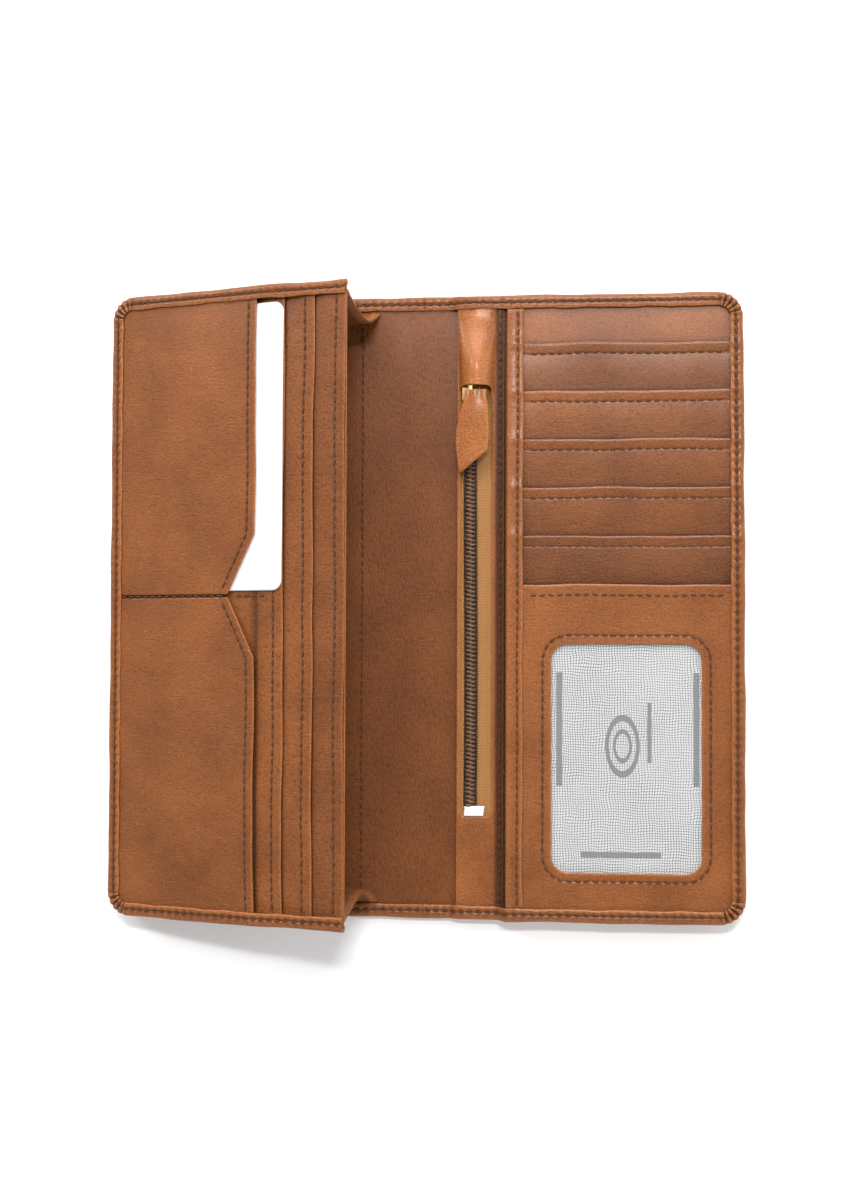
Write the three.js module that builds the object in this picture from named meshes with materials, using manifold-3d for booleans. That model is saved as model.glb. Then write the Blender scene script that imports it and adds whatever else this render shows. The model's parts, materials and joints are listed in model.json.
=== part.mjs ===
// A long bifold wallet lying open: a left cover that carries a raised pocket leaf on folded gussets,
// a two-fold spine, and a right cover with a zipped coin pocket, card slots and an ID window.
// Millimetres. +X is to the right, +Y along the spine towards the slider's closed end, +Z up.
// The origin is under the middle of the spine, on the surface that the wallet lies on.

import * as THREE from "three";
import { mergeVertices } from "three/addons/utils/BufferGeometryUtils.js";
import Module from "manifold-3d";

const wasm = await Module();
wasm.setup();

// ---------------------------------------------------------------- driving dimensions

const OPEN_WIDTH = 194; // over both covers, lying open
const HEIGHT = 190; // along the spine
const CORNER_RADIUS = 7.5; // outer corners of the covers and of the leaf

const COVER = 1.0; // outer leather with its backing
const LEATHER = 0.6; // turned hems and front panels
const PANEL = 0.5; // inner pocket panels of the leaf
const SLOT = 0.38; // skived card-slot panels
const BOARD = 0.3; // stiffeners
const CLOTH = 0.3; // lining, coin pouch and zip tapes
const SHEET = 0.2; // window film and the paper behind it
const GAP = 0.12; // air between two stacked layers

const HEM_WIDTH = 4.3; // how far a turned hem reaches over the layers it holds
const HEM_WALL = 0.9; // the hem's outer wall
const HEM_CLEARANCE = 0.25; // from that wall to the edges of the layers inside
const CLOSED_CLEARANCE = 2.24; // between the two stacks when the wallet is shut
const LINING_CUT_BACK = 1.0; // the lining stops this far from each fold line
const HEM_CUT_BACK = 1.8; // the hem stops this far from each fold line

const LEAF_ANGLE = 19.5; // degrees, how far the leaf stands open at rest
const LEAF_EDGE_INSET = 1.9; // from the cover's edge to the leaf's hinge line
const LEAF_SPINE_GAP = 7.1; // from the shut leaf's free edge to the fold line
const POCKET_STEPS = [0, 10.1, 19.6, 28.4]; // each pocket's mouth, back from the leaf's free edge
const DIVIDER_FROM_CENTRE = 2.5; // the seam between the upper and the lower front pocket
const DIVIDER_GAP = 0.8; // between the two front pockets
const NOTCH_DEPTH = 9.2; // the V cut at the pockets' inner corners
const NOTCH_RUN = 18;

const CARD_LENGTH = 85.6; // a standard payment card
const CARD_WIDTH = 54;
const CARD_THICKNESS = 0.76;
const CARD_RADIUS = 3.18;
const CARD_SHOWING = 8.7; // how far the spare card stands out of its pocket
const CARD_OVER_DIVIDER = 1.5;

const GUSSET_LEG = 17.4; // width of each folded leg
const GUSSET_SKIN = 0.4;
const GUSSET_FOLD = 0.5; // half the leather's width across the inner fold
const GUSSET_START = 8; // from the hinge line

const ZIP_PANEL_INSET = 2.4; // from the fold line to the zip panel
const ZIP_PANEL_WIDTH = 14.5;
const ZIP_SLOT_INSET = 1.1; // from the panel's edge to its slot
const ZIP_SLOT_WIDTH = 9.4;
const ZIP_SLOT_RADIUS = 1;
const ZIP_SLOT_TOP = 23.6; // from the wallet's upper edge
const ZIP_SLOT_BOTTOM = 31.2; // from the wallet's lower edge
const CHAIN_INSET = 3.1; // from the slot's inner edge to the chain's middle
const TOOTH_PITCH = 2.4;
const TOOTH_WIDTH = 0.9;
const TOOTH_REACH = 0.35; // past the chain's middle
const ROW_HALF_WIDTH = 1.9;
const CARD_HEM_RISE = [1.2, 0.3]; // before the binding strip: where the hem's step up starts and ends
const CARD_HEM_LEVEL = 1.5; // above the ID pocket's mouth, where the hem reaches its full height
// The puller's widening end, each point as [across from the chain, share of the puller's length].
const PULLER_OUTLINE = [
  [-4.2, 0.55],
  [-3.6, 1],
  [5.4, 0.7],
  [5.2, 0.45],
];
const ROW_BAR = 0.6;
const TOOTH_HEIGHT = 1.2;
const TAPE_SPLIT = 0.3; // between the two tapes
const TAPE_OVERRUN = 5; // past each end of the slot
const STOP_LENGTH = 1.2;
const BOTTOM_STOP_LENGTH = 3;
const BOTTOM_STOP_WIDTH = 6.3;

const SLIDER_LENGTH = 9.2;
const SLIDER_HALF_WIDTH = 2.7;
const SLIDER_WALL = 0.55;
const SLIDER_NOSE = 0.6; // share of its half width that the slider keeps at its narrow end
const SLIDER_TAPER = 1 / 3; // share of its half length at which the taper starts
const SLIDER_PLATE = 0.6;
const SLIDER_FROM_STOP = 0.7;
const BRIDGE_WIDTH = 1.4;
const BRIDGE_HALF_LENGTH = 3.2;
const BRIDGE_POST = 0.7;
const BRIDGE_BAR = 0.5;
const PIN_RADIUS = 0.45;
const PIN_CLEARANCE = 0.25;
const EYE_ROUND = 0.75; // the puller's eye around its pin
const PULLER_THICKNESS = 0.9;
const PULLER_ARM = 0.8;
const PULLER_ARM_GAP = 0.35; // from the bridge to each arm
const PULLER_START = 4.2; // from the pin to the strap
const PULLER_LENGTH = 23.6; // from the pin to the strap's tip

const TRIM_INSET = 17.5; // from the fold line to the strip that binds the card slots
const TRIM_WIDTH = 5.1;
const TRIM_WALL = 0.7;
const TRIM_SKIN = 0.4;
const SLOT_FIRST = 15.1; // from the wallet's upper edge to the first slot's mouth
const SLOT_PITCH = 14.7;
const SLOT_COUNT = 5;
const SLOT_DEPTH = 80;
const WINDOW_BELOW_MOUTH = 17.9; // from the ID pocket's mouth to its window
const WINDOW_ABOVE_EDGE = 15.2; // from the wallet's lower edge to the window
const WINDOW_FROM_TRIM = 8.6;
const WINDOW_FROM_EDGE = 13;
const WINDOW_RADIUS = 5;
const WINDOW_OVERLAP = 3.2; // of the film behind the frame
const INSERT_WIDTH = 54;
const INSERT_LENGTH = 84;
const INSERT_BELOW_MOUTH = 4;

const ARC_STEPS = 6; // straight pieces in each rounded corner

// ---------------------------------------------------------------- heights, from the covers up

const liningZ = COVER + GAP + BOARD + GAP;
const aboveLining = liningZ + CLOTH + GAP;

const leftHemTop = aboveLining + LEATHER;
const hingeStripZ = leftHemTop + GAP;
const leafZ = hingeStripZ + CLOTH + GAP;

const rearZ = LEATHER + GAP; // heights on the leaf, from its own underside
const thirdZ = rearZ + PANEL + GAP;
const secondZ = thirdZ + PANEL + GAP;
const cardZ = secondZ + PANEL + GAP;
const frontZ = cardZ + CARD_THICKNESS + GAP;
const leafHemTop = frontZ + LEATHER + GAP + LEATHER;
const leafHemLow = rearZ + PANEL + GAP + LEATHER;

const tapeZ = aboveLining + CLOTH + GAP;
const zipPanelZ = tapeZ + CLOTH + GAP;
const zipHemTop = zipPanelZ + LEATHER + GAP + LEATHER;
const trimZ = tapeZ;
const backingZ = trimZ + TRIM_SKIN + GAP;
const firstSlotZ = backingZ + TRIM_SKIN + GAP;
const slotStep = SLOT + GAP;
const insertZ = firstSlotZ + SLOT_COUNT * slotStep;
const windowZ = insertZ + SHEET + GAP;
const idPanelZ = windowZ + SHEET + GAP;
const cardHemTop = idPanelZ + LEATHER + GAP + LEATHER;
const cardHemLow = firstSlotZ + SLOT + GAP + LEATHER;

const toothZ = zipPanelZ;
const sliderPlateZ = toothZ + TOOTH_HEIGHT + GAP;
const sliderTop = sliderPlateZ + SLIDER_PLATE;
const pinZ = sliderTop + PIN_CLEARANCE + EYE_ROUND;
const bridgeBarZ = pinZ + PIN_RADIUS + PIN_CLEARANCE;

// ---------------------------------------------------------------- places across the open wallet

const halfWidth = OPEN_WIDTH / 2;
const halfHeight = HEIGHT / 2;
const foldX = (leafZ + leafHemTop + cardHemTop - 2 * COVER + CLOSED_CLEARANCE) / 2;
const foldGap = GAP;
const plateRadius = CORNER_RADIUS + HEM_WALL / 2; // inside the hem's own corner
const layerInset = HEM_WALL + HEM_CLEARANCE;
const layerHalfHeight = halfHeight - layerInset;
const layerEdge = halfWidth - layerInset;
const layerRadius = CORNER_RADIUS - layerInset;
const hemInnerY = halfHeight - HEM_WIDTH;

const leafX = -halfWidth + LEAF_EDGE_INSET;
const leafWidth = -foldX - LEAF_SPINE_GAP - leafX;

const zipPanelX = foldX + ZIP_PANEL_INSET;
const zipSlotX = zipPanelX + ZIP_SLOT_INSET;
const zipSlotY = [-halfHeight + ZIP_SLOT_BOTTOM, halfHeight - ZIP_SLOT_TOP];
const chainX = zipSlotX + CHAIN_INSET;
const topStopY = zipSlotY[1] - GAP - STOP_LENGTH;
const bottomStopY = zipSlotY[0] + GAP;
const chainY = [bottomStopY + BOTTOM_STOP_LENGTH + GAP, topStopY - GAP];
const sliderY = chainY[1] - SLIDER_FROM_STOP - SLIDER_LENGTH / 2;

const trimX = foldX + TRIM_INSET;
const mouthY = (number) => halfHeight - SLOT_FIRST - number * SLOT_PITCH;
const idMouthY = mouthY(SLOT_COUNT);

// ---------------------------------------------------------------- materials

const finish = (color, roughness, metalness = 0) =>
  new THREE.MeshStandardMaterial({ color, roughness, metalness });

const tanLeather = finish(0x9c6238, 0.5);
const brownLeather = finish(0x7a4a2c, 0.6);
const board = finish(0x8f8778, 0.9);
const pouchCloth = finish(0x6b4a30, 0.95);
const tapeCloth = finish(0xb28a4c, 0.9);
const brownCoil = finish(0x4a2c1c, 0.4);
const brassMetal = finish(0x9a7440, 0.35, 1);
const whiteMetal = finish(0xd8d4cc, 0.4);
const whitePlastic = finish(0xf2f2f0, 0.3);
const clearFilm = new THREE.MeshStandardMaterial({
  color: 0xdfe4e6,
  roughness: 0.1,
  transparent: true,
  opacity: 0.35,
});
const greyPaper = finish(0xb9bdbf, 0.8);

// ---------------------------------------------------------------- shape helpers

// A flat outline with its own radius at each corner, from the lower left one round to the upper left.
function sheetOutline(x0, x1, y0, y1, radii = [0, 0, 0, 0]) {
  const corners = [
    [x0, y0],
    [x1, y0],
    [x1, y1],
    [x0, y1],
  ];
  const points = corners.flatMap(([x, y], i) => {
    const r = radii[i];
    if (r <= 0) return [[x, y]];
    const middle = [x + (x === x0 ? r : -r), y + (y === y0 ? r : -r)];
    return Array.from({ length: ARC_STEPS + 1 }, (_, step) => {
      const angle = Math.PI + ((i + step / ARC_STEPS) * Math.PI) / 2;
      return [middle[0] + r * Math.cos(angle), middle[1] + r * Math.sin(angle)];
    });
  });
  return pointOutline(points);
}

// An outline through a list of points.
function pointOutline(points) {
  return new THREE.Shape(points.map(([x, y]) => new THREE.Vector2(x, y)));
}

// A flat piece of the outline's shape, from z up by its thickness.
function slab(outline, z, thickness) {
  const geometry = new THREE.ExtrudeGeometry(outline, { depth: thickness, bevelEnabled: false });
  return geometry.translate(0, 0, z);
}

// A block between two opposite corners.
function block(low, high) {
  const size = high.map((value, i) => value - low[i]);
  const middle = high.map((value, i) => (value + low[i]) / 2);
  return new THREE.BoxGeometry(...size).translate(...middle);
}

// A closed skin through rings of points, one section after another. The flat contour closes the ends.
function loft(rings, contour, turnedSides = []) {
  const count = contour.length;
  const points = rings.flat();
  const faces = [];
  for (let ring = 0; ring + 1 < rings.length; ring += 1) {
    for (let side = 0; side < count; side += 1) {
      const a = ring * count + side;
      const b = ring * count + ((side + 1) % count);
      if (turnedSides.includes(side)) faces.push([a, b, a + count], [b, b + count, a + count]);
      else faces.push([a, b, b + count], [a, b + count, a + count]);
    }
  }
  const flat = contour.map(([x, y]) => new THREE.Vector2(x, y));
  const turned = THREE.ShapeUtils.area(flat) < 0;
  const lastRing = (rings.length - 1) * count;
  const ends = THREE.ShapeUtils.triangulateShape(flat, []);
  ends.forEach(([a, b, c]) => {
    const end = turned ? [a, b, c] : [c, b, a];
    faces.push(end, end.map((index) => index + lastRing).reverse());
  });
  const volume = faces.reduce((sum, [a, b, c]) => sum + tetrahedron(points[a], points[b], points[c]), 0);
  const outward = volume < 0 ? faces.map((face) => [...face].reverse()) : faces;
  const geometry = new THREE.BufferGeometry().setFromPoints(points);
  geometry.setIndex(outward.flat());
  return geometry;
}

// Six times the signed volume between the origin and a triangle.
function tetrahedron(a, b, c) {
  return new THREE.Vector3().crossVectors(b, c).dot(a);
}

// A three.js geometry as a manifold-3d solid, and back.
function toSolid(geometry) {
  const bare = new THREE.BufferGeometry();
  bare.setAttribute("position", geometry.getAttribute("position"));
  if (geometry.index) bare.setIndex(geometry.index);
  const merged = mergeVertices(bare, 1e-4);
  const vertProperties = merged.getAttribute("position").array;
  const triVerts = new Uint32Array(merged.index.array);
  return new wasm.Manifold(new wasm.Mesh({ numProp: 3, vertProperties, triVerts }));
}

function toGeometry(solid) {
  const mesh = solid.getMesh();
  const geometry = new THREE.BufferGeometry();
  geometry.setAttribute("position", new THREE.BufferAttribute(mesh.vertProperties, 3));
  return geometry.setIndex(new THREE.BufferAttribute(mesh.triVerts, 1));
}

function joined(...geometries) {
  const [first, ...others] = geometries.map(toSolid);
  return toGeometry(others.reduce((sum, solid) => sum.add(solid), first));
}

function add(parent, name, geometry, material) {
  geometry.computeVertexNormals();
  const mesh = new THREE.Mesh(geometry, material);
  mesh.name = name;
  parent.add(mesh);
}

// ---------------------------------------------------------------- turned hems

// The edge of a board with two rounded corners on the side away from the spine, as stations with the
// direction inwards. side is 1 for a board that reaches to the right and -1 for one to the left.
function edgeStations(side, nearX, farX, breaks) {
  const cornerX = farX - side * CORNER_RADIUS;
  const cornerY = halfHeight - CORNER_RADIUS;
  const along = [nearX, ...breaks.filter((x) => (cornerX - x) * side > 0), cornerX];
  const stations = along.map((x) => ({ x, y: -halfHeight, inX: 0, inY: 1 }));
  const rounds = [-1, 1].map((end) => {
    const steps = Array.from({ length: ARC_STEPS - 1 }, (_, i) => ((i + 1) / ARC_STEPS) * (Math.PI / 2));
    return steps.map((angle) => {
      const across = end < 0 ? Math.sin(angle) : Math.cos(angle);
      const up = end < 0 ? -Math.cos(angle) : Math.sin(angle);
      return {
        x: cornerX + side * CORNER_RADIUS * across,
        y: end * cornerY + CORNER_RADIUS * up,
        inX: -side * across,
        inY: -up,
      };
    });
  });
  const risers = [-1, -0.5, 0, ...mouthsUpTheSide(), 1].map((share) => ({
    x: farX,
    y: share * cornerY,
    inX: -side,
    inY: 0,
  }));
  const back = [...along].reverse().map((x) => ({ x, y: halfHeight, inX: 0, inY: -1 }));
  return [...stations, ...rounds[0], ...risers, ...rounds[1], ...back];
}

// Where the height of a side hem changes, as shares of the straight side's half length.
function mouthsUpTheSide() {
  const cornerY = halfHeight - CORNER_RADIUS;
  return [idMouthY + HEM_WIDTH, mouthY(2), mouthY(0)].map((y) => y / cornerY);
}

// A C-shaped hem along stations: a wall up from the board and a lip over the layers inside.
function hem(stations, topAt) {
  const section = (top) => [
    [0, 0],
    [0, top],
    [HEM_WIDTH, top],
    [HEM_WIDTH, top - LEATHER],
    [HEM_WALL, top - LEATHER],
    [HEM_WALL, 0],
  ];
  const rings = stations.map(({ x, y, inX, inY }) =>
    section(topAt(x, y)).map(([depth, z]) => new THREE.Vector3(x + inX * depth, y + inY * depth, z)),
  );
  return loft(rings, section(topAt(stations[0].x, stations[0].y)));
}

// A value that runs evenly between two others while x goes from x0 to x1.
function ramp(x, x0, x1, from, to) {
  const share = Math.min(1, Math.max(0, (x - x0) / (x1 - x0)));
  return from + (to - from) * share;
}

// ---------------------------------------------------------------- covers, stiffeners and lining

// The hem over the right cover rises over the zip panel, and again over the card slots.
const zipRise = [foldX + HEM_CUT_BACK + GAP, zipPanelX - GAP];
const cardRise = [trimX - CARD_HEM_RISE[0], trimX - CARD_HEM_RISE[1]];
const cardHemAt = (y) => ramp(y, mouthY(0) + HEM_WIDTH, idMouthY + CARD_HEM_LEVEL, cardHemLow, cardHemTop);

function rightHemAt(x, y) {
  const overZip = ramp(x, ...zipRise, leftHemTop, zipHemTop);
  return ramp(x, ...cardRise, overZip, cardHemAt(y));
}

function coverRight() {
  const nearX = foldX + foldGap / 2;
  const plate = slab(
    sheetOutline(nearX, halfWidth, -halfHeight, halfHeight, [0, plateRadius, plateRadius, 0]),
    0,
    COVER,
  );
  const stations = edgeStations(1, foldX + HEM_CUT_BACK, halfWidth, [...zipRise, ...cardRise]);
  return joined(plate, hem(stations, rightHemAt));
}

function coverLeft() {
  const nearX = -foldX - foldGap / 2;
  const plate = slab(
    sheetOutline(-halfWidth, nearX, -halfHeight, halfHeight, [plateRadius, 0, 0, plateRadius]),
    0,
    COVER,
  );
  const stations = edgeStations(-1, -foldX - HEM_CUT_BACK, -halfWidth, []);
  return joined(plate, hem(stations, () => leftHemTop));
}

function coverSpine() {
  const reach = foldX - foldGap / 2;
  const hemReach = foldX - HEM_CUT_BACK;
  const plate = slab(sheetOutline(-reach, reach, -halfHeight, halfHeight), 0, COVER);
  const hems = [-1, 1].map((end) => {
    const stations = [-hemReach, hemReach].map((x) => ({ x, y: end * halfHeight, inX: 0, inY: -end }));
    return hem(stations, () => leftHemTop);
  });
  return joined(plate, ...hems);
}

// A layer inside a cover's hem, with its outer corners rounded to follow it.
function coverLayer(side, cutBack) {
  const near = side * (foldX + cutBack);
  const far = side * layerEdge;
  const outer = side > 0 ? [0, layerRadius, layerRadius, 0] : [layerRadius, 0, 0, layerRadius];
  return sheetOutline(Math.min(near, far), Math.max(near, far), -layerHalfHeight, layerHalfHeight, outer);
}

function addCovers(wallet) {
  add(wallet, "cover_left", coverLeft(), tanLeather);
  add(wallet, "cover_spine", coverSpine(), tanLeather);
  add(wallet, "cover_right", coverRight(), tanLeather);
  [-1, 1].forEach((side) => {
    const word = side < 0 ? "left" : "right";
    add(wallet, `stiffener_${word}`, slab(coverLayer(side, HEM_CUT_BACK), COVER + GAP, BOARD), board);
    add(wallet, `lining_${word}`, slab(coverLayer(side, LINING_CUT_BACK), liningZ, CLOTH), brownLeather);
  });
  const reach = foldX - LINING_CUT_BACK;
  const spineSheet = sheetOutline(-reach, reach, -layerHalfHeight, layerHalfHeight);
  add(wallet, "lining_spine", slab(spineSheet, COVER + GAP, BOARD + GAP), brownLeather);
}

// ---------------------------------------------------------------- the leaf and its gussets

// A pocket panel on the leaf, from inside its hem to a mouth set back from the leaf's free edge.
function leafPanel(setBack, z, thickness) {
  const radii = [layerRadius, 0, 0, layerRadius];
  const edge = leafWidth - setBack;
  return slab(sheetOutline(layerInset, edge, -layerHalfHeight, layerHalfHeight, radii), z, thickness);
}

// One of the two front pockets: its mouth is cut back in a V beside the seam between them.
function frontPocket(end) {
  const mouth = leafWidth - POCKET_STEPS[3];
  const seamY = DIVIDER_FROM_CENTRE + (end * DIVIDER_GAP) / 2;
  const corner = new THREE.Vector2(layerInset + layerRadius, end * (layerHalfHeight - layerRadius));
  const round = Array.from({ length: ARC_STEPS + 1 }, (_, i) => (i / ARC_STEPS) * (Math.PI / 2)).map(
    (angle) => [
      corner.x - layerRadius * Math.sin(angle),
      corner.y + end * layerRadius * Math.cos(angle),
    ],
  );
  const points = [
    [layerInset, seamY],
    [mouth - NOTCH_DEPTH, seamY],
    [mouth, seamY + end * NOTCH_RUN],
    [mouth, end * layerHalfHeight],
    ...round,
  ];
  return slab(pointOutline(end > 0 ? points : points.reverse()), frontZ, LEATHER);
}

// The leaf's back panel, its leather turned over all its layers on the three closed sides.
function leafBack() {
  const radii = [plateRadius, 0, 0, plateRadius];
  const plate = slab(sheetOutline(0, leafWidth, -halfHeight, halfHeight, radii), 0, LEATHER);
  const steps = POCKET_STEPS.map((step) => leafWidth - step).reverse();
  const stations = edgeStations(-1, leafWidth, 0, steps.slice(0, -1).reverse());
  const top = (x) => ramp(x, leafWidth - POCKET_STEPS[3], leafWidth, leafHemTop, leafHemLow);
  return joined(plate, hem(stations, top));
}

function spareCard() {
  const right = leafWidth - POCKET_STEPS[3] + CARD_SHOWING;
  const bottom = DIVIDER_FROM_CENTRE + CARD_OVER_DIVIDER;
  const radii = [CARD_RADIUS, CARD_RADIUS, CARD_RADIUS, CARD_RADIUS];
  const outline = sheetOutline(right - CARD_WIDTH, right, bottom, bottom + CARD_LENGTH, radii);
  return slab(outline, cardZ, CARD_THICKNESS);
}

// A folded gusset between the cover and the leaf: two legs that meet in an inner fold, whose depth
// shrinks as the leaf's edges move apart.
function gusset(end) {
  const angle = THREE.MathUtils.degToRad(LEAF_ANGLE);
  const outerY = hemInnerY - HEM_CLEARANCE;
  const turned = (distance, height, share) => {
    const a = angle * share;
    return [
      leafX + distance * Math.cos(a) - height * Math.sin(a),
      leafZ + distance * Math.sin(a) + height * Math.cos(a),
    ];
  };
  const base = aboveLining - leafZ;
  const steps = 12;
  const sections = Array.from({ length: steps + 1 }, (_, i) => {
    const distance = GUSSET_START + ((leafWidth - GUSSET_START) * i) / steps;
    const depth = Math.sqrt(GUSSET_LEG ** 2 - (distance * Math.sin(angle / 2)) ** 2);
    const fold = turned(distance, base / 2, 0.5);
    const points = [
      [turned(distance, base, 0), 0],
      [fold, depth + GUSSET_FOLD],
      [turned(distance, -GAP, 1), 0],
      [turned(distance, -GAP - GUSSET_SKIN, 1), 0],
      [fold, depth - GUSSET_FOLD],
      [turned(distance, base + GUSSET_SKIN, 0), 0],
    ];
    return points.map(([[x, z], inward]) => new THREE.Vector3(x, end * (outerY - inward), z));
  });
  return loft(
    sections,
    sections[steps].map((point) => [point.y, point.z]),
    [3, 4], // the inner skin creases along the same diagonals as the outer one
  );
}

function addLeaf(wallet) {
  const stripEnd = layerHalfHeight - 2 * layerRadius;
  const strip = sheetOutline(-layerEdge, -layerEdge + GUSSET_START - LEAF_EDGE_INSET, -stripEnd, stripEnd);
  add(wallet, "leaf_hinge_strip", slab(strip, hingeStripZ, CLOTH), brownLeather);
  add(wallet, "gusset_top", gusset(1), tanLeather);
  add(wallet, "gusset_bottom", gusset(-1), tanLeather);

  const leaf = new THREE.Group();
  leaf.position.set(leafX, 0, leafZ);
  leaf.rotation.y = -THREE.MathUtils.degToRad(LEAF_ANGLE);
  wallet.add(leaf);
  add(leaf, "leaf_back", leafBack(), tanLeather);
  add(leaf, "leaf_panel_rear", leafPanel(POCKET_STEPS[0], rearZ, PANEL), tanLeather);
  add(leaf, "leaf_pocket_third", leafPanel(POCKET_STEPS[1], thirdZ, PANEL), tanLeather);
  add(leaf, "leaf_pocket_second", leafPanel(POCKET_STEPS[2], secondZ, PANEL), tanLeather);
  add(leaf, "leaf_pocket_upper", frontPocket(1), tanLeather);
  add(leaf, "leaf_pocket_lower", frontPocket(-1), tanLeather);
  add(leaf, "spare_card", spareCard(), whitePlastic);
}

// ---------------------------------------------------------------- the zipped coin pocket

function addCoinPocket(wallet) {
  const pouch = sheetOutline(zipPanelX, layerEdge, -layerHalfHeight, layerHalfHeight, [
    0,
    layerRadius,
    layerRadius,
    0,
  ]);
  add(wallet, "coin_pouch", slab(pouch, aboveLining, CLOTH), pouchCloth);

  const panel = sheetOutline(zipPanelX, zipPanelX + ZIP_PANEL_WIDTH, -layerHalfHeight, layerHalfHeight);
  const r = ZIP_SLOT_RADIUS;
  panel.holes.push(sheetOutline(zipSlotX, zipSlotX + ZIP_SLOT_WIDTH, ...zipSlotY, [r, r, r, r]));
  add(wallet, "zip_panel", slab(panel, zipPanelZ, LEATHER), tanLeather);
}

// One row of teeth on a bar. The rows reach towards each other, half a pitch apart.
function toothRow(side) {
  const outer = chainX + side * ROW_HALF_WIDTH;
  const bar = outer - side * ROW_BAR;
  const tip = chainX - side * TOOTH_REACH;
  const first = chainY[0] + (side < 0 ? 0 : TOOTH_PITCH / 2) + GAP;
  const count = Math.floor((chainY[1] - first - TOOTH_WIDTH) / TOOTH_PITCH) + 1;
  const points = [
    [outer, chainY[0]],
    [bar, chainY[0]],
  ];
  for (let i = 0; i < count; i += 1) {
    const y = first + i * TOOTH_PITCH;
    points.push([bar, y], [tip, y], [tip, y + TOOTH_WIDTH], [bar, y + TOOTH_WIDTH]);
  }
  points.push([bar, chainY[1]], [outer, chainY[1]]);
  return slab(pointOutline(side < 0 ? points : points.reverse()), toothZ, TOOTH_HEIGHT);
}

function tape(side) {
  const near = chainX + (side * TAPE_SPLIT) / 2;
  const far = side < 0 ? zipPanelX + GAP : zipPanelX + ZIP_PANEL_WIDTH - GAP;
  const outline = sheetOutline(
    Math.min(near, far),
    Math.max(near, far),
    zipSlotY[0] - TAPE_OVERRUN,
    zipSlotY[1] + TAPE_OVERRUN,
  );
  return slab(outline, tapeZ, CLOTH);
}

// The slider's body: a plate over the chain with two side walls and an arched bridge for the puller.
function slider() {
  const halfLength = SLIDER_LENGTH / 2;
  const nose = SLIDER_HALF_WIDTH * SLIDER_NOSE;
  const plate = slab(
    pointOutline([
      [chainX - nose, sliderY - halfLength],
      [chainX + nose, sliderY - halfLength],
      [chainX + SLIDER_HALF_WIDTH, sliderY - halfLength * SLIDER_TAPER],
      [chainX + SLIDER_HALF_WIDTH, sliderY + halfLength],
      [chainX - SLIDER_HALF_WIDTH, sliderY + halfLength],
      [chainX - SLIDER_HALF_WIDTH, sliderY - halfLength * SLIDER_TAPER],
    ]),
    sliderPlateZ,
    SLIDER_PLATE,
  );
  const walls = [-1, 1].map((side) => {
    const xs = [chainX + side * SLIDER_HALF_WIDTH, chainX + side * (SLIDER_HALF_WIDTH - SLIDER_WALL)];
    return block(
      [Math.min(...xs), sliderY - halfLength * SLIDER_TAPER, toothZ + GAP],
      [Math.max(...xs), sliderY + halfLength, sliderPlateZ + SLIDER_PLATE / 2],
    );
  });
  const halfBridge = BRIDGE_WIDTH / 2;
  const posts = [-1, 1].map((end) => {
    const ys = [sliderY + end * BRIDGE_HALF_LENGTH, sliderY + end * (BRIDGE_HALF_LENGTH - BRIDGE_POST)];
    return block(
      [chainX - halfBridge, Math.min(...ys), sliderPlateZ + SLIDER_PLATE / 2],
      [chainX + halfBridge, Math.max(...ys), bridgeBarZ + BRIDGE_BAR / 2],
    );
  });
  const bar = block(
    [chainX - halfBridge, sliderY - BRIDGE_HALF_LENGTH, bridgeBarZ],
    [chainX + halfBridge, sliderY + BRIDGE_HALF_LENGTH, bridgeBarZ + BRIDGE_BAR],
  );
  return joined(plate, ...walls, ...posts, bar);
}

// The leather puller: a pin under the bridge, two arms beside it and a strap with a slanted end.
function puller() {
  const armIn = BRIDGE_WIDTH / 2 + PULLER_ARM_GAP;
  const armOut = armIn + PULLER_ARM;
  const strapZ = pinZ - PULLER_THICKNESS / 2;
  const pin = new THREE.CylinderGeometry(PIN_RADIUS, PIN_RADIUS, 2 * armIn + PULLER_ARM, 12);
  pin.rotateZ(Math.PI / 2).translate(chainX, sliderY, pinZ);
  const arms = [-1, 1].map((side) => {
    const xs = [chainX + side * armIn, chainX + side * armOut];
    return block(
      [Math.min(...xs), sliderY - PULLER_START - PULLER_ARM, strapZ],
      [Math.max(...xs), sliderY + PIN_RADIUS, strapZ + PULLER_THICKNESS],
    );
  });
  const strap = slab(
    pointOutline([
      [chainX - armOut, sliderY - PULLER_START],
      ...PULLER_OUTLINE.map(([across, share]) => [chainX + across, sliderY - share * PULLER_LENGTH]),
      [chainX + armOut, sliderY - PULLER_START],
    ]),
    strapZ,
    PULLER_THICKNESS,
  );
  return joined(strap, pin, ...arms);
}

function addZip(wallet) {
  add(wallet, "zip_tape_left", tape(-1), tapeCloth);
  add(wallet, "zip_tape_right", tape(1), tapeCloth);
  add(wallet, "zip_teeth_left", toothRow(-1), brownCoil);
  add(wallet, "zip_teeth_right", toothRow(1), brownCoil);
  const topStop = block(
    [chainX - ROW_HALF_WIDTH, topStopY, toothZ],
    [chainX + ROW_HALF_WIDTH, topStopY + STOP_LENGTH, toothZ + TOOTH_HEIGHT],
  );
  add(wallet, "zip_top_stop", topStop, brassMetal);
  const bottomStop = block(
    [chainX - ROW_HALF_WIDTH, bottomStopY, toothZ],
    [chainX - ROW_HALF_WIDTH + BOTTOM_STOP_WIDTH, bottomStopY + BOTTOM_STOP_LENGTH, toothZ + TOOTH_HEIGHT],
  );
  add(wallet, "zip_bottom_stop", bottomStop, whiteMetal);
  add(wallet, "zip_slider", slider(), brassMetal);
  add(wallet, "zip_puller", puller(), tanLeather);
}

// ---------------------------------------------------------------- card slots and ID window

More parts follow.
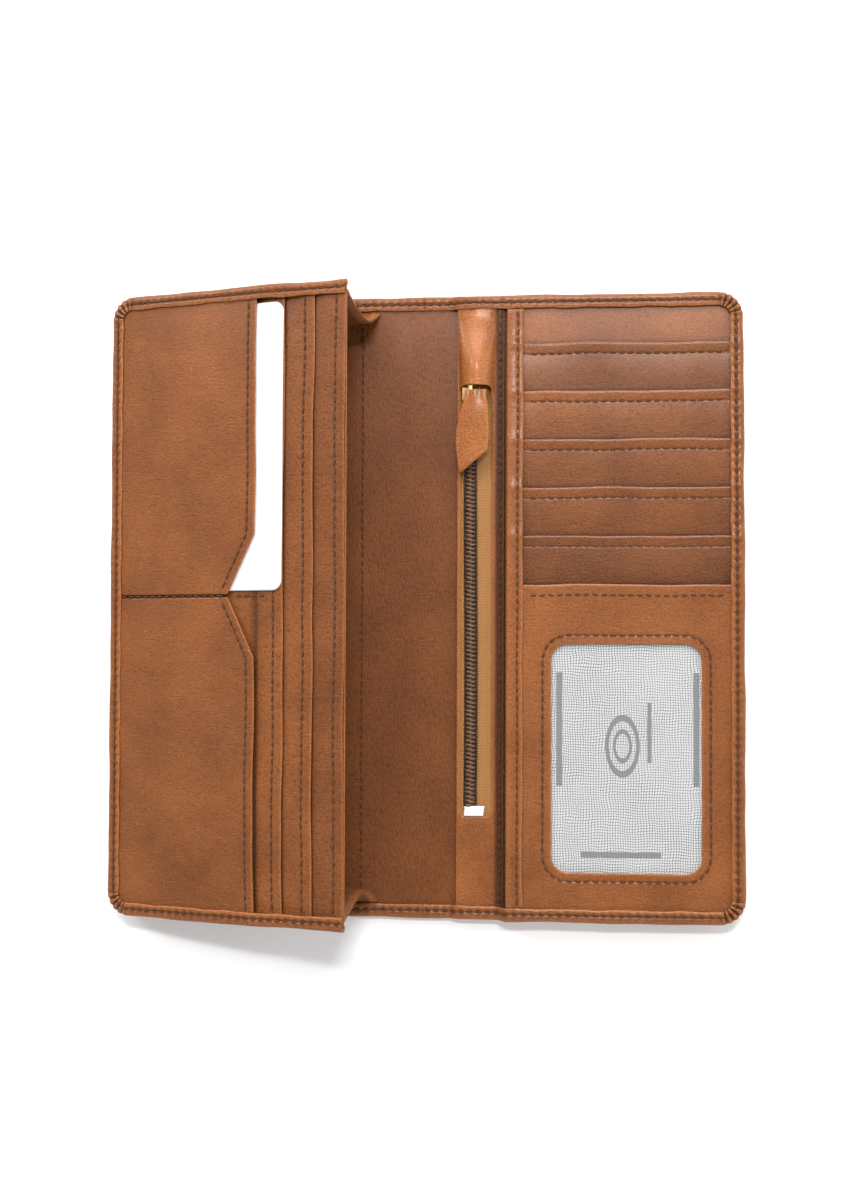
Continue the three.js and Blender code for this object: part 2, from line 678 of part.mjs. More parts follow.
// The binding strip: a channel folded over the inner ends of the card slots, as high as they are.
function cardTrim() {
  const section = (top) => [
    [trimX, trimZ],
    [trimX + TRIM_WIDTH, trimZ],
    [trimX + TRIM_WIDTH, trimZ + TRIM_SKIN],
    [trimX + TRIM_WALL, trimZ + TRIM_SKIN],
    [trimX + TRIM_WALL, top - TRIM_SKIN],
    [trimX + TRIM_WIDTH, top - TRIM_SKIN],
    [trimX + TRIM_WIDTH, top],
    [trimX, top],
  ];
  const reach = hemInnerY - HEM_CLEARANCE;
  const stops = [-reach, 0, idMouthY + CARD_HEM_LEVEL, mouthY(2), mouthY(0) + HEM_WIDTH, reach];
  const rings = stops.map((y) => section(cardHemAt(y)).map(([x, z]) => new THREE.Vector3(x, y, z)));
  return loft(rings, section(cardHemAt(stops[0])));
}

function cardLayer(low, high) {
  const near = trimX + TRIM_WALL + HEM_CLEARANCE;
  const lowRadius = low <= -layerHalfHeight ? layerRadius : 0;
  const highRadius = high >= layerHalfHeight ? layerRadius : 0;
  return sheetOutline(near, layerEdge, low, high, [0, lowRadius, highRadius, 0]);
}

function addCardSlots(wallet) {
  add(wallet, "card_trim", cardTrim(), tanLeather);
  const backing = cardLayer(-layerHalfHeight, layerHalfHeight);
  add(wallet, "card_backing", slab(backing, backingZ, TRIM_SKIN), tanLeather);
  for (let number = 0; number < SLOT_COUNT; number += 1) {
    const mouth = mouthY(number);
    const low = Math.max(mouth - SLOT_DEPTH, -layerHalfHeight);
    const panel = slab(cardLayer(low, mouth), firstSlotZ + number * slotStep, SLOT);
    add(wallet, `slot_panel_${number + 1}`, panel, tanLeather);
  }
}

function addIdPocket(wallet) {
  const hole = {
    x: [trimX + TRIM_WIDTH + WINDOW_FROM_TRIM, halfWidth - WINDOW_FROM_EDGE],
    y: [-halfHeight + WINDOW_ABOVE_EDGE, idMouthY - WINDOW_BELOW_MOUTH],
  };
  const r = WINDOW_RADIUS;
  const panel = cardLayer(-layerHalfHeight, idMouthY);
  panel.holes.push(sheetOutline(...hole.x, ...hole.y, [r, r, r, r]));
  add(wallet, "id_panel", slab(panel, idPanelZ, LEATHER), tanLeather);

  const film = sheetOutline(
    hole.x[0] - WINDOW_OVERLAP,
    hole.x[1] + WINDOW_OVERLAP,
    hole.y[0] - WINDOW_OVERLAP,
    hole.y[1] + WINDOW_OVERLAP,
    [r, r, r, r],
  );
  add(wallet, "id_window", slab(film, windowZ, SHEET), clearFilm);

  const middle = (hole.x[0] + hole.x[1]) / 2;
  const top = idMouthY - INSERT_BELOW_MOUTH;
  const insert = sheetOutline(middle - INSERT_WIDTH / 2, middle + INSERT_WIDTH / 2, top - INSERT_LENGTH, top);
  add(wallet, "id_insert", slab(insert, insertZ, SHEET), greyPaper);
}

// ---------------------------------------------------------------- the wallet

const group = new THREE.Group();
addCovers(group);
addLeaf(group);
addCoinPocket(group);
addZip(group);
addCardSlots(group);
addIdPocket(group);

export default group;
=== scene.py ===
"""A long leather wallet lying open: its leather, lining, seams, zip, cards and window, dressed around the frame."""

import json
import logging
import math
from collections.abc import Callable, Sequence
from dataclasses import dataclass, field
from enum import Enum

import bmesh
import bpy
import numpy as np
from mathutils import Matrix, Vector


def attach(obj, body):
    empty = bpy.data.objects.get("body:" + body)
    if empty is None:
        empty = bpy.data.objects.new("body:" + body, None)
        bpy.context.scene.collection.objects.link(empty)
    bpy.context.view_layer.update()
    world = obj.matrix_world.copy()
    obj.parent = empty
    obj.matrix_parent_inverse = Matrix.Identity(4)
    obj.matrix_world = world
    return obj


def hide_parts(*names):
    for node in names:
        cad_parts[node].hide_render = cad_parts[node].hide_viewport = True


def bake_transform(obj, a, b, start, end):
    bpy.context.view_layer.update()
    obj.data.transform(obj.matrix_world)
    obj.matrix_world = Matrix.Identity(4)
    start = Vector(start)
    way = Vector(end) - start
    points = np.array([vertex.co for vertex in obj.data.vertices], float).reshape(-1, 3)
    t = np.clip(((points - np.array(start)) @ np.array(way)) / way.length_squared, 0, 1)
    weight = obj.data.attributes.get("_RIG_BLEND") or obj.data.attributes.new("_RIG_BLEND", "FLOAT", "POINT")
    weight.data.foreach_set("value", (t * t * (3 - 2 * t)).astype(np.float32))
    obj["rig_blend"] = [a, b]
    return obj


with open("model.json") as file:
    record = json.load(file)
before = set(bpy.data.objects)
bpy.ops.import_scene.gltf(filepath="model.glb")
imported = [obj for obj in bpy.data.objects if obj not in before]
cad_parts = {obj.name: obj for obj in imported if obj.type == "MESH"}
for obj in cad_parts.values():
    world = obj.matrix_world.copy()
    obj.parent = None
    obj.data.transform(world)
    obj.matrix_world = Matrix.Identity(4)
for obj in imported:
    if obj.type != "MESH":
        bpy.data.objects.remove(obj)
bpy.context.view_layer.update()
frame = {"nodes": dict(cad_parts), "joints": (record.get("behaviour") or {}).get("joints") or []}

MM = 0.001
AIR = 0.12  # between two stacked layers, mm
LIP = 0.6  # thickness of a turned hem, mm
HEM_WIDTH = 4.3
HEM_STITCH = 2.5  # from the outer edge to the hem's seam
MOUTH_STITCH = 3.2  # from a pocket's mouth to the seam under it
STITCH_PITCH = 2.65
CORNER = 7.5  # the covers' outer corner radius

log = logging.getLogger("wallet")
Array = np.ndarray
Warp = Callable[[Array], Array]
Colour = tuple[float, float, float]
Row = tuple[Array, Array | tuple]  # a seam's line, and the way up along it
UP = (0.0, 0.0, 1.0)
EDGE_ROUNDING = 0.5
SEAM_DIP = 0.16  # how deep a seam pulls a panel in
SEAM_REACH = 0.22
INSET = 0.55  # from a hem's outer edge to the sheet inside it
INNER_CORNER = CORNER - 0.6
FOLD_REACH = 3.2  # to each side of a fold line, how far the leather bends
TRACE = 2 * math.pi / 6  # between the points round a strand


# ------------------------------------------------------------------ places


@dataclass(frozen=True)
class Span:
    """The lowest and highest corner of a node, in millimetres."""

    low: Array
    high: Array

    @property
    def corners(self) -> tuple[tuple, tuple, tuple]:
        """The lowest and highest x and y, and the range of z."""
        return tuple(self.low[:2]), tuple(self.high[:2]), (self.low[2], self.high[2])


@dataclass(frozen=True)
class Board:
    """A flat frame of its own, turned about a line along Y: the open wallet, or the raised leaf."""

    x: float = 0.0
    z: float = 0.0
    angle: float = 0.0

    def out(self, points: Array) -> Array:
        """Points of this board in the row frame."""
        c, s = math.cos(self.angle), math.sin(self.angle)
        x, y, z = points[..., 0], points[..., 1], points[..., 2]
        return np.stack([self.x + x * c - z * s, y, self.z + x * s + z * c], axis=-1)

    def back(self, points: Array) -> Array:
        """Points of the row frame on this board."""
        c, s = math.cos(self.angle), math.sin(self.angle)
        x, y, z = points[..., 0] - self.x, points[..., 1], points[..., 2] - self.z
        return np.stack([x * c + z * s, y, z * c - x * s], axis=-1)

    def span(self, node: str) -> Span:
        """A node's corners on this board."""
        points = np.array([v.co for v in frame["nodes"][node].data.vertices]) / MM
        local = self.back(points)
        return Span(local.min(axis=0), local.max(axis=0))


def joint(name: str) -> dict:
    """The record of one joint."""
    return next(j for j in frame["joints"] if j["name"] == name)


LEAF_HINGE = joint("leaf_open")
FLAT = Board()
LEAF = Board(
    LEAF_HINGE["pos_m"][0] / MM,
    LEAF_HINGE["pos_m"][2] / MM,
    -math.radians(LEAF_HINGE["range_deg"][0]),
)
FOLD_X = joint("spine_fold_right")["pos_m"][0] / MM


def smooth(value: Array, start: float, end: float) -> Array:
    """A smooth step from 0 at start to 1 at end."""
    t = np.clip((np.asarray(value, float) - start) / (end - start), 0, 1)
    return t * t * (3 - 2 * t)


def hump(value: Array, middle: float, reach: float) -> Array:
    """A bell of height 1 around middle."""
    return np.exp(-(((np.asarray(value, float) - middle) / reach) ** 2))


def folded(top: Array, bottom: Array) -> Array:
    """A section's upper points and then its lower ones, back to the start."""
    return np.concatenate([top, bottom[:, -2:0:-1]], axis=1)


def strand(centre: Array, side: Array, out: Array, girth: Array) -> Array:
    """Rings of six points round a line, from the two ways across it."""
    angle = np.arange(6) * TRACE
    ring = np.cos(angle)[None, :, None] * side + np.sin(angle)[None, :, None] * out
    return centre[:, None, :] + ring * np.asarray(girth)[:, None, None]


def sway(value: Array, seed: float, length: float = 20.0) -> Array:
    """A slow uneven wave between about -1 and 1."""
    v = np.asarray(value, float) * (2 * math.pi / length)
    return (np.sin(v + seed) + 0.6 * np.sin(1.73 * v + 2.1 * seed) + 0.4 * np.sin(3.1 * v + 5 * seed)) / 2


# ------------------------------------------------------------------ shader writing


class Field:
    """One socket of a material, with the sums that shaders need."""

    def __init__(self, shop: "Graph", socket: bpy.types.NodeSocket) -> None:
        """Keeps the socket and the shader it belongs to."""
        self.shop = shop
        self.socket = socket

    def _math(self, operation: str, *values: "Field | float") -> "Field":
        """A Math node on this field and others."""
        inputs = {i: value for i, value in enumerate(values)}
        return self.shop.node("ShaderNodeMath", {"operation": operation}, inputs)

    def __add__(self, other: "Field | float") -> "Field":
        """self + other."""
        return self._math("ADD", self, other)

    __radd__ = __add__

    def __mul__(self, other: "Field | float") -> "Field":
        """self * other."""
        return self._math("MULTIPLY", self, other)

    __rmul__ = __mul__

    def __sub__(self, other: "Field | float") -> "Field":
        """self - other."""
        return self._math("SUBTRACT", self, other)

    def __rsub__(self, other: "Field | float") -> "Field":
        """other - self."""
        return self._math("SUBTRACT", other, self)

    def __pow__(self, other: "Field | float") -> "Field":
        """self ** other."""
        return self._math("POWER", self, other)

    def above(self, edge: float) -> "Field":
        """1 where this field is greater than edge."""
        return self._math("GREATER_THAN", self, edge)

    def wave(self) -> "Field":
        """The sine of this field."""
        return self._math("SINE", self)

    def positive(self) -> "Field":
        """This field without its sign."""
        return self._math("ABSOLUTE", self)

    def clamped(self) -> "Field":
        """This field held between 0 and 1."""
        return self.shop.node("ShaderNodeClamp", {}, {"Value": self})


class Graph:
    """Nodes under construction in one tree."""

    def __init__(self, tree: bpy.types.NodeTree) -> None:
        """Keeps the tree."""
        self.tree = tree

    def node(self, kind: str, settings: dict, inputs: dict, output: int | str = 0) -> Field:
        """Adds one node.

        Args:
            kind: the node's type.
            settings: its properties, or a list of stops for a ramp.
            inputs: values or fields for its sockets.
            output: which output to return.

        Returns:
            The chosen output.
        """
        made = self.tree.nodes.new(kind)
        for key, value in settings.items():
            if key == "stops":
                self._stops(made, value)
            else:
                setattr(made, key, value)
        for key, value in inputs.items():
            if isinstance(value, Field):
                self.tree.links.new(value.socket, made.inputs[key])
            else:
                made.inputs[key].default_value = value
        return Field(self, made.outputs[output])

    @staticmethod
    def _stops(ramp: bpy.types.Node, stops: Sequence[tuple[float, tuple]]) -> None:
        """Sets a ramp's stops."""
        elements = ramp.color_ramp.elements
        while len(elements) < len(stops):
            elements.new(0.5)
        for element, (position, colour) in zip(elements, stops, strict=True):
            element.position = position
            element.color = (*colour, 1)

    def attribute(self, name: str, vector: bool = False) -> Field:
        """A value that the mesh carries."""
        return self.node("ShaderNodeAttribute", {"attribute_name": name}, {}, "Vector" if vector else "Fac")

    def stretched(self, place: Field, scale: tuple) -> Field:
        """The place, scaled along each axis."""
        return self.node("ShaderNodeVectorMath", {"operation": "MULTIPLY"}, {0: place, 1: scale})

    def noise(self, place: Field, scale: float, detail: float = 2.0, rough: float = 0.5) -> Field:
        """A cloudy field from 0 to 1."""
        values = {"Vector": place, "Scale": scale, "Detail": detail, "Roughness": rough}
        return self.node("ShaderNodeTexNoise", {}, values)

    def cells(self, place: Field, scale: float) -> Field:
        """The distance to the nearest cell's centre."""
        return self.node("ShaderNodeTexVoronoi", {"feature": "F1"}, {"Vector": place, "Scale": scale}, "Distance")

    def mix(self, factor: Field | float, a: Field | tuple, b: Field | tuple, blend: str = "MIX") -> Field:
        """A mix of two colours."""
        made = self.tree.nodes.new("ShaderNodeMix")
        made.data_type = "RGBA"
        made.blend_type = blend
        for socket, value in ((made.inputs[0], factor), (made.inputs[6], a), (made.inputs[7], b)):
            if isinstance(value, Field):
                self.tree.links.new(value.socket, socket)
            else:
                socket.default_value = (*value, 1) if isinstance(value, tuple) else value
        return Field(self, made.outputs[2])

    def split(self, place: Field) -> tuple[Field, Field, Field]:
        """A place's three coordinates."""
        parts = self.node("ShaderNodeSeparateXYZ", {}, {0: place})
        outputs = parts.socket.node.outputs
        return tuple(Field(self, outputs[i]) for i in range(3))


class Shader(Graph):
    """A material under construction around one Principled shader."""

    def __init__(self, name: str, **constants: float | tuple) -> None:
        """Starts the material.

        Args:
            name: the material's name.
            constants: values for the shader's own sockets, with _ for spaces.
        """
        self.material = bpy.data.materials.new(name)
        self.material.use_nodes = True
        super().__init__(self.material.node_tree)
        self.principled = self.tree.nodes["Principled BSDF"]
        for key, value in constants.items():
            self.principled.inputs[key.replace("_", " ").title().replace("Ior", "IOR")].default_value = value

    def bump(self, height: Field, depth_mm: float) -> Field:
        """A normal bent by a height from 0 to 1."""
        return self.node("ShaderNodeBump", {}, {"Height": height, "Distance": depth_mm * MM, "Strength": 1.0})

    def feed(self, **fields: Field) -> bpy.types.Material:
        """Links fields to the shader's sockets, with _ for spaces, and returns the material."""
        for key, value in fields.items():
            self.tree.links.new(value.socket, self.principled.inputs[key.replace("_", " ").title()])
        return self.material


# ------------------------------------------------------------------ finishes


@dataclass(frozen=True)
class OneColour:
    """What a finish of one colour holds."""

    name: str
    colour: Colour


@dataclass(frozen=True)
class TwoColours:
    """What a finish between two colours holds."""

    name: str
    light: Colour
    dark: Colour


@dataclass(frozen=True)
class Leather(TwoColours):
    """Soft full-grain leather with a cloudy tone and fine pebbles, its edges painted lighter, partly rubbed and partly
    painted highlight, with painted highlights on the pebble tops and painted shade in folds, grooves and pebble
    hollows.
    """

    grain_mm: float = 0.62
    grain_depth_mm: float = 0.17
    stretch: tuple = (1.0, 1.0, 1.0)
    roughness: float = 0.44

    def build(self) -> bpy.types.Material:
        """Makes the material."""
        s = Shader(self.name, specular_ior_level=0.16, coat_weight=0.28, coat_roughness=0.22)
        place = s.attribute("flat", vector=True)
        wear, crease, tone = s.attribute("wear"), s.attribute("crease"), s.attribute("tone")
        cloud = s.noise(place, 0.045, 3.0, 0.55)
        patch = s.noise(place, 0.3, 3.0, 0.6)
        speck = s.noise(place, 1.6, 2.0, 0.6)
        fine = s.stretched(place, self.stretch)
        pebble = s.cells(fine, 1 / self.grain_mm)
        pore = s.cells(fine, 2.1 / self.grain_mm)
        wrinkle = s.noise(s.stretched(place, (0.16, 0.9, 1.0)), 1.0, 4.0, 0.62)
        fold_line = (1 - ((wrinkle - 0.5).positive() * 9).clamped()) * (patch - 0.42).clamped() * 2.4
        share = (cloud * 2.0 + patch * 0.5 - 0.7 + (speck - 0.5) * 0.2).clamped()
        colour = s.mix(share, self.dark, self.light)
        # pale is the colour of rubbed edges and painted highlights; deep is the colour of painted shade.
        pale = tuple(min(1.0, 1.45 * c + lift) for c, lift in zip(self.light, (0.03, 0.016, 0.008), strict=True))
        deep = tuple(0.25 * c for c in self.dark)
        # Edges and tight leather painted lighter: partly rubbed leather, partly painted highlight.
        colour = s.mix((wear * (patch * 0.8 + 0.3)).clamped(), colour, pale)
        # Painted shade in the hollows between the pebbles.
        colour = s.mix((pebble * 1.3 - 0.5).clamped() * 0.5, colour, deep)
        # Painted highlights on the pebble tops.
        colour = s.mix((0.34 - pebble).clamped() * 0.45, colour, pale)
        # Painted shade in seam grooves, folds, under edges and beside the layers that lie over a panel.
        colour = s.mix(crease.clamped(), colour, deep)
        shade = s.node("ShaderNodeCombineColor", {}, {0: tone + 1, 1: tone * 1.1 + 1, 2: tone * 1.2 + 1})
        colour = s.mix(1.0, colour, shade, "MULTIPLY")
        height = 1 - pebble * 0.8 - pore * 0.2 + speck * 0.3 - fold_line * 1.5
        rough = (patch * 0.16 + pebble * 0.2 + self.roughness - 0.14 - wear * 0.05).clamped()
        return s.feed(base_color=colour, roughness=rough, normal=s.bump(height, self.grain_depth_mm))


@dataclass(frozen=True)
class Thread(OneColour):
    """Waxed twisted thread."""

    def build(self) -> bpy.types.Material:
        """Makes the material."""
        s = Shader(self.name, roughness=0.7, specular_ior_level=0.2)
        place = s.attribute("flat", vector=True)
        fuzz = s.noise(place, 3.0, 2.0)
        x, y, _ = s.split(place)
        twist = ((x + y) * 16).wave() * 0.5 + 0.5
        pale = tuple(2.0 * c + 0.01 for c in self.colour)
        colour = s.mix((fuzz * 0.7 + twist * 0.35 - 0.3).clamped(), self.colour, pale)
        return s.feed(base_color=colour, normal=s.bump(twist, 0.06))


@dataclass(frozen=True)
class Tape(TwoColours):
    """A narrow herringbone cloth tape."""

    def build(self) -> bpy.types.Material:
        """Makes the material."""
        s = Shader(self.name, roughness=0.85, sheen_weight=0.25, specular_ior_level=0.2)
        x, y, _ = s.split(s.attribute("flat", vector=True))
        zigzag = (x * 1.9).wave() * 0.55
        weft = ((y + zigzag) * 7.5).wave() * 0.5 + 0.5
        warp = (x * 11.0).wave() * 0.5 + 0.5
        weave = weft * 0.65 + warp * 0.35
        fuzz = s.noise(s.attribute("flat", vector=True), 2.2, 3.0)
        colour = s.mix((weave * 0.8 + fuzz * 0.4 - 0.1).clamped(), self.dark, self.light)
        return s.feed(base_color=colour, normal=s.bump(weave, 0.12))


@dataclass(frozen=True)
class Metal(OneColour):
    """Aged plated metal with fine rubbing marks."""

    roughness: float = 0.32

    def build(self) -> bpy.types.Material:
        """Makes the material."""
        s = Shader(self.name, metallic=1.0)
        place = s.stretched(s.node("ShaderNodeTexCoord", {}, {}, "Object"), (1000.0, 1000.0, 1000.0))
        rub = s.noise(s.stretched(place, (0.6, 3.0, 1.0)), 1.2, 4.0, 0.7)
        stain_and_shade = s.noise(place, 0.5, 3.0)
        dull = tuple(0.45 * c for c in self.colour)
        colour = s.mix((stain_and_shade * 1.2 - 0.2).clamped(), dull, self.colour)
        return s.feed(base_color=colour, roughness=rub * 0.25 + self.roughness - 0.1, normal=s.bump(rub, 0.03))


@dataclass(frozen=True)
class Coil(TwoColours):
    """Satin moulded coil, painted into shade towards where its loops go down to the tape."""

    def build(self) -> bpy.types.Material:
        """Makes the material."""
        s = Shader(self.name, specular_ior_level=0.5)
        place = s.attribute("flat", vector=True)
        root_shade = s.attribute("crease")
        mottle = s.noise(place, 1.1, 3.0)
        # Painted shade towards the loops' ends at the tape and along the cord under them.
        colour = s.mix((mottle * 0.9 + 0.1 - root_shade).clamped(), self.dark, self.light)
        return s.feed(base_color=colour, roughness=mottle * 0.2 + 0.28, normal=s.bump(mottle, 0.03))


@dataclass(frozen=True)
class Plastic(OneColour):
    """Smooth coated card with faint handling marks."""

    roughness: float = 0.28

    def build(self) -> bpy.types.Material:
        """Makes the material."""
        s = Shader(self.name, specular_ior_level=0.5)
        place = s.attribute("flat", vector=True)
        marks = s.noise(s.stretched(place, (0.2, 1.4, 1.0)), 0.8, 5.0, 0.7)
        edge = s.attribute("wear")
        grey = tuple(0.8 * c for c in self.colour)
        colour = s.mix((edge * 0.6 + (marks - 0.5) * 0.08).clamped(), self.colour, grey)
        return s.feed(base_color=colour, roughness=marks * 0.12 + self.roughness, normal=s.bump(marks, 0.008))


@dataclass(frozen=True)
class MeshPrint:
    """Pale paper printed with a fine square mesh, and soft plain bars in place of any lettering."""

    name: str
    paper: Colour = (0.46, 0.463, 0.455)
    ink: Colour = (0.035, 0.035, 0.037)
    black: Colour = (0.015, 0.015, 0.017)
    pitch_mm: float = 0.78
    bars: tuple[tuple[float, float, float, float], ...] = ()
    rings: tuple[tuple[float, float, float, float], ...] = ()

    def build(self) -> bpy.types.Material:
        """Makes the material."""
        s = Shader(self.name, roughness=0.6, specular_ior_level=0.3)
        place = s.attribute("flat", vector=True)
        x, y, _ = s.split(place)
        turn = 2 * math.pi / self.pitch_mm
        drift = s.noise(place, 0.05, 2.0)
        wobble = s.noise(place, 0.12, 2.0) * 2.4
        lines_x = (((x + wobble) * turn).wave() * 0.5 + 0.5) ** 3.5
        lines_y = (((y + wobble) * turn).wave() * 0.5 + 0.5) ** 3.5
        mesh = (lines_x * 0.9 + lines_y * 0.9).clamped()
        colour = s.mix((mesh * (drift * 0.6 + 0.6)).clamped(), self.paper, self.ink)
        for middle_x, middle_y, half_x, half_y in self.bars:
            inside_x = 1 - ((x - middle_x).positive() - half_x).above(0.0)
            inside_y = 1 - ((y - middle_y).positive() - half_y).above(0.0)
            colour = s.mix(inside_x * inside_y * 0.9, colour, self.black)
        for middle_x, middle_y, radius, breadth in self.rings:
            away = ((x - middle_x) * (x - middle_x) + (y - middle_y) * (y - middle_y) * 0.3) ** 0.5
            on_ring = 1 - ((away - radius).positive() - breadth).above(0.0)
            colour = s.mix(on_ring * 0.9, colour, self.black)
        return s.feed(base_color=colour, normal=s.bump(mesh, 0.02))


@dataclass(frozen=True)
class Film:
    """Clear flexible film with slight ripples."""

    name: str

    def build(self) -> bpy.types.Material:
        """Makes the material."""
        s = Shader(self.name, base_color=(0.92, 0.94, 0.95, 1), alpha=0.08, specular_ior_level=0.5)
        place = s.attribute("flat", vector=True)
        ripple = s.noise(s.stretched(place, (1.0, 0.35, 1.0)), 0.08, 2.0)
        scuff = s.noise(s.stretched(place, (0.3, 2.0, 1.0)), 1.0, 5.0, 0.7)
        return s.feed(roughness=scuff * 0.16 + 0.1, normal=s.bump(ripple, 1.2))


@dataclass(frozen=True)
class Cloth(TwoColours):
    """Plain woven cloth or grey board, for what lies inside."""

    def build(self) -> bpy.types.Material:
        """Makes the material."""
        s = Shader(self.name, roughness=0.9, specular_ior_level=0.2)
        place = s.stretched(s.node("ShaderNodeTexCoord", {}, {}, "Object"), (1000.0, 1000.0, 1000.0))
        x, y, _ = s.split(place)
        weave = (x * 9.0).wave() * (y * 9.0).wave() * 0.5 + 0.5
        fuzz = s.noise(place, 0.8, 3.0)
        colour = s.mix((weave * 0.5 + fuzz * 0.6 - 0.1).clamped(), self.dark, self.light)
        return s.feed(base_color=colour, normal=s.bump(weave, 0.08))


class Finish(Enum):
    """Every finish on the wallet."""

    TAN = Leather("tan leather", (0.232, 0.075, 0.019), (0.135, 0.040, 0.009))
    LINING = Leather(
        "brown lining leather",
        (0.172, 0.053, 0.013),
        (0.112, 0.033, 0.008),
        grain_mm=0.7,
        grain_depth_mm=0.14,
        stretch=(1.5, 0.5, 1.0),
        roughness=0.5,
    )
    THREAD = Thread("brown thread", (0.070, 0.024, 0.008))
    TAPE = Tape("gold-brown tape", (0.42, 0.20, 0.063), (0.18, 0.078, 0.022))
    COIL = Coil("brown coil", (0.19, 0.082, 0.032), (0.02, 0.008, 0.004))
    BRASS = Metal("aged brass", (0.56, 0.36, 0.16))
    WHITE_STOP = Plastic("white enamel", (0.86, 0.85, 0.82), 0.35)
    CARD = Plastic("white card", (0.70, 0.70, 0.71))
    PRINT = MeshPrint(
        "mesh print",
        bars=((41.6, -37.0, 0.9, 17.0), (82.4, -37.0, 0.9, 17.0), (60.0, -74.5, 12.0, 0.9), (68.5, -38.0, 0.6, 9.0)),
        rings=((60.5, -42.0, 4.6, 0.55), (60.5, -42.0, 2.4, 0.4)),
    )
    FILM = Film("clear film")
    BOARD = Cloth("grey board", (0.42, 0.38, 0.31), (0.3, 0.27, 0.22))
    POUCH = Cloth("pouch cloth", (0.16, 0.09, 0.05), (0.08, 0.045, 0.025))

    @property
    def material(self) -> bpy.types.Material:
        """The finish's material, made once."""
        found = bpy.data.materials.get(self.value.name)
        return found or self.value.build()


# ------------------------------------------------------------------ mesh building


class Skin:
    """Points and faces of one piece, with how much lighter each point is painted, for rubbed leather and painted
    highlight, and how much painted shade it has in folds and hollows.
    """

    def __init__(self, board: Board = FLAT, tone: float = 0.0) -> None:
        """Starts an empty piece on a board, a little lighter or darker than its finish by tone."""
        self.board = board
        self.tone = tone
        self.points: list[Array] = []
        self.flat: list[Array] = []
        self.wear: list[Array] = []
        self.crease: list[Array] = []
        self.faces: list[list[int]] = []
        self.count = 0

    def rings(
        self,
        points: Array,
        wear: Array | float = 0.0,
        crease: Array | float = 0.0,
        looped: bool = False,
        flat: Array | None = None,
    ) -> None:
        """Adds a closed skin through rings of points.

        Args:
            points: rings by points by 3, on the board, in millimetres.
            wear: how much lighter each point is painted, partly rubbed leather and partly painted highlight.
            crease: how much painted shade each point has, in folds, grooves and hollows.
            looped: whether the last ring joins the first, instead of both being closed by a face.
            flat: the place of each point in the finish, if it isn't the point itself.
        """
        rows, cols = points.shape[:2]
        index = np.arange(rows * cols).reshape(rows, cols) + self.count
        following = np.roll(index, -1, axis=1)
        last = rows if looped else rows - 1
        for row in range(last):
            nxt = (row + 1) % rows
            quads = np.stack([index[row], following[row], following[nxt], index[nxt]], axis=1)
            self.faces.extend(quads.tolist())
        if not looped:
            self.faces.append(index[0].tolist())
            self.faces.append(index[-1][::-1].tolist())
        self.points.append(points.reshape(-1, 3))
        self.flat.append((points if flat is None else flat).reshape(-1, 3))
        self.wear.append(np.broadcast_to(wear, (rows, cols)).reshape(-1))
        self.crease.append(np.broadcast_to(crease, (rows, cols)).reshape(-1))
        self.count += rows * cols

    def finish(self, name: str, finish: Finish, body: str, *replaced: str) -> bpy.types.Object:
        """Makes the object, gives it its finish and sets it on its body.

        Args:
            name: the piece's name.
            finish: its finish.
            body: the body it rides on, or "" to leave it free for a blend.
            replaced: the nodes that it stands for.

        Returns:
            The new object.
        """
        flat = np.concatenate(self.flat)
        world = self.board.out(np.concatenate(self.points)) * MM
        mesh = bpy.data.meshes.new(name)
        mesh.from_pydata(world.tolist(), [], self.faces)
        carried = {
            "wear": np.concatenate(self.wear),
            "crease": np.concatenate(self.crease),
            "tone": np.full(self.count, self.tone),
        }
        for key, values in carried.items():
            made = mesh.attributes.new(key, "FLOAT", "POINT")
            made.data.foreach_set("value", values.astype(np.float32))
        made = mesh.attributes.new("flat", "FLOAT_VECTOR", "POINT")
        made.data.foreach_set("vector", flat.astype(np.float32).ravel())
        worked = bmesh.new()
        worked.from_mesh(mesh)
        bmesh.ops.recalc_face_normals(worked, faces=worked.faces)
        worked.to_mesh(mesh)
        worked.free()
        mesh.polygons.foreach_set("use_smooth", [True] * len(mesh.polygons))
        piece = bpy.data.objects.new(name, mesh)
        bpy.context.scene.collection.objects.link(piece)
        return dress(piece, finish, body, *replaced)


def dress(piece: bpy.types.Object, finish: Finish, body: str, *replaced: str) -> bpy.types.Object:
    """Gives a piece its finish, its body and the nodes that it stands for."""
    piece.data.materials.clear()
    piece.data.materials.append(finish.material)
    if body:
        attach(piece, body)
    if replaced:
        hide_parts(*replaced)
    log.info("%s on %s: %d points", piece.name, body or "a fold", len(piece.data.vertices))
    return piece


def offsets(groove: float | None, cover: float | None = None) -> Array:
    """Distances from an edge where a panel needs points: its rounding, the seam beside it, and where a cover starts."""
    near = [0.0, 0.05, 0.14, 0.28, 0.5, 0.85]
    if groove is not None:
        near += [groove + step for step in (-0.55, -0.3, -0.12, 0.12, 0.3, 0.55)]
    if cover is not None:
        near += [cover - step for step in (2.4, 1.2, 0.6, 0.25, 0.0)]
    return np.array(near)


def rounding(distance: Array, radius: float) -> Array:
    """The share of half a panel's thickness at a distance from its edge."""
    t = np.clip(1 - distance / radius, 0, 1)
    return np.maximum(np.sqrt(1 - t * t), 0.08)


def axis_steps(low: Array, high: Array, first: Array, last: Array, spacing: float) -> Array:
    """Places between two edges: close together beside each, and evenly spaced between them."""
    width = float(np.mean(high - low))
    count = max(2, int(width / spacing))
    inner = np.linspace(0, 1, count + 1)[1:-1]
    start, end = low + first[-1], high - last[-1]
    left = low[:, None] + first[None, :]
    middle = start[:, None] + (end - start)[:, None] * inner[None, :]
    right = (high[:, None] - last[None, :])[:, ::-1]
    return np.concatenate([left, middle, right], axis=1)


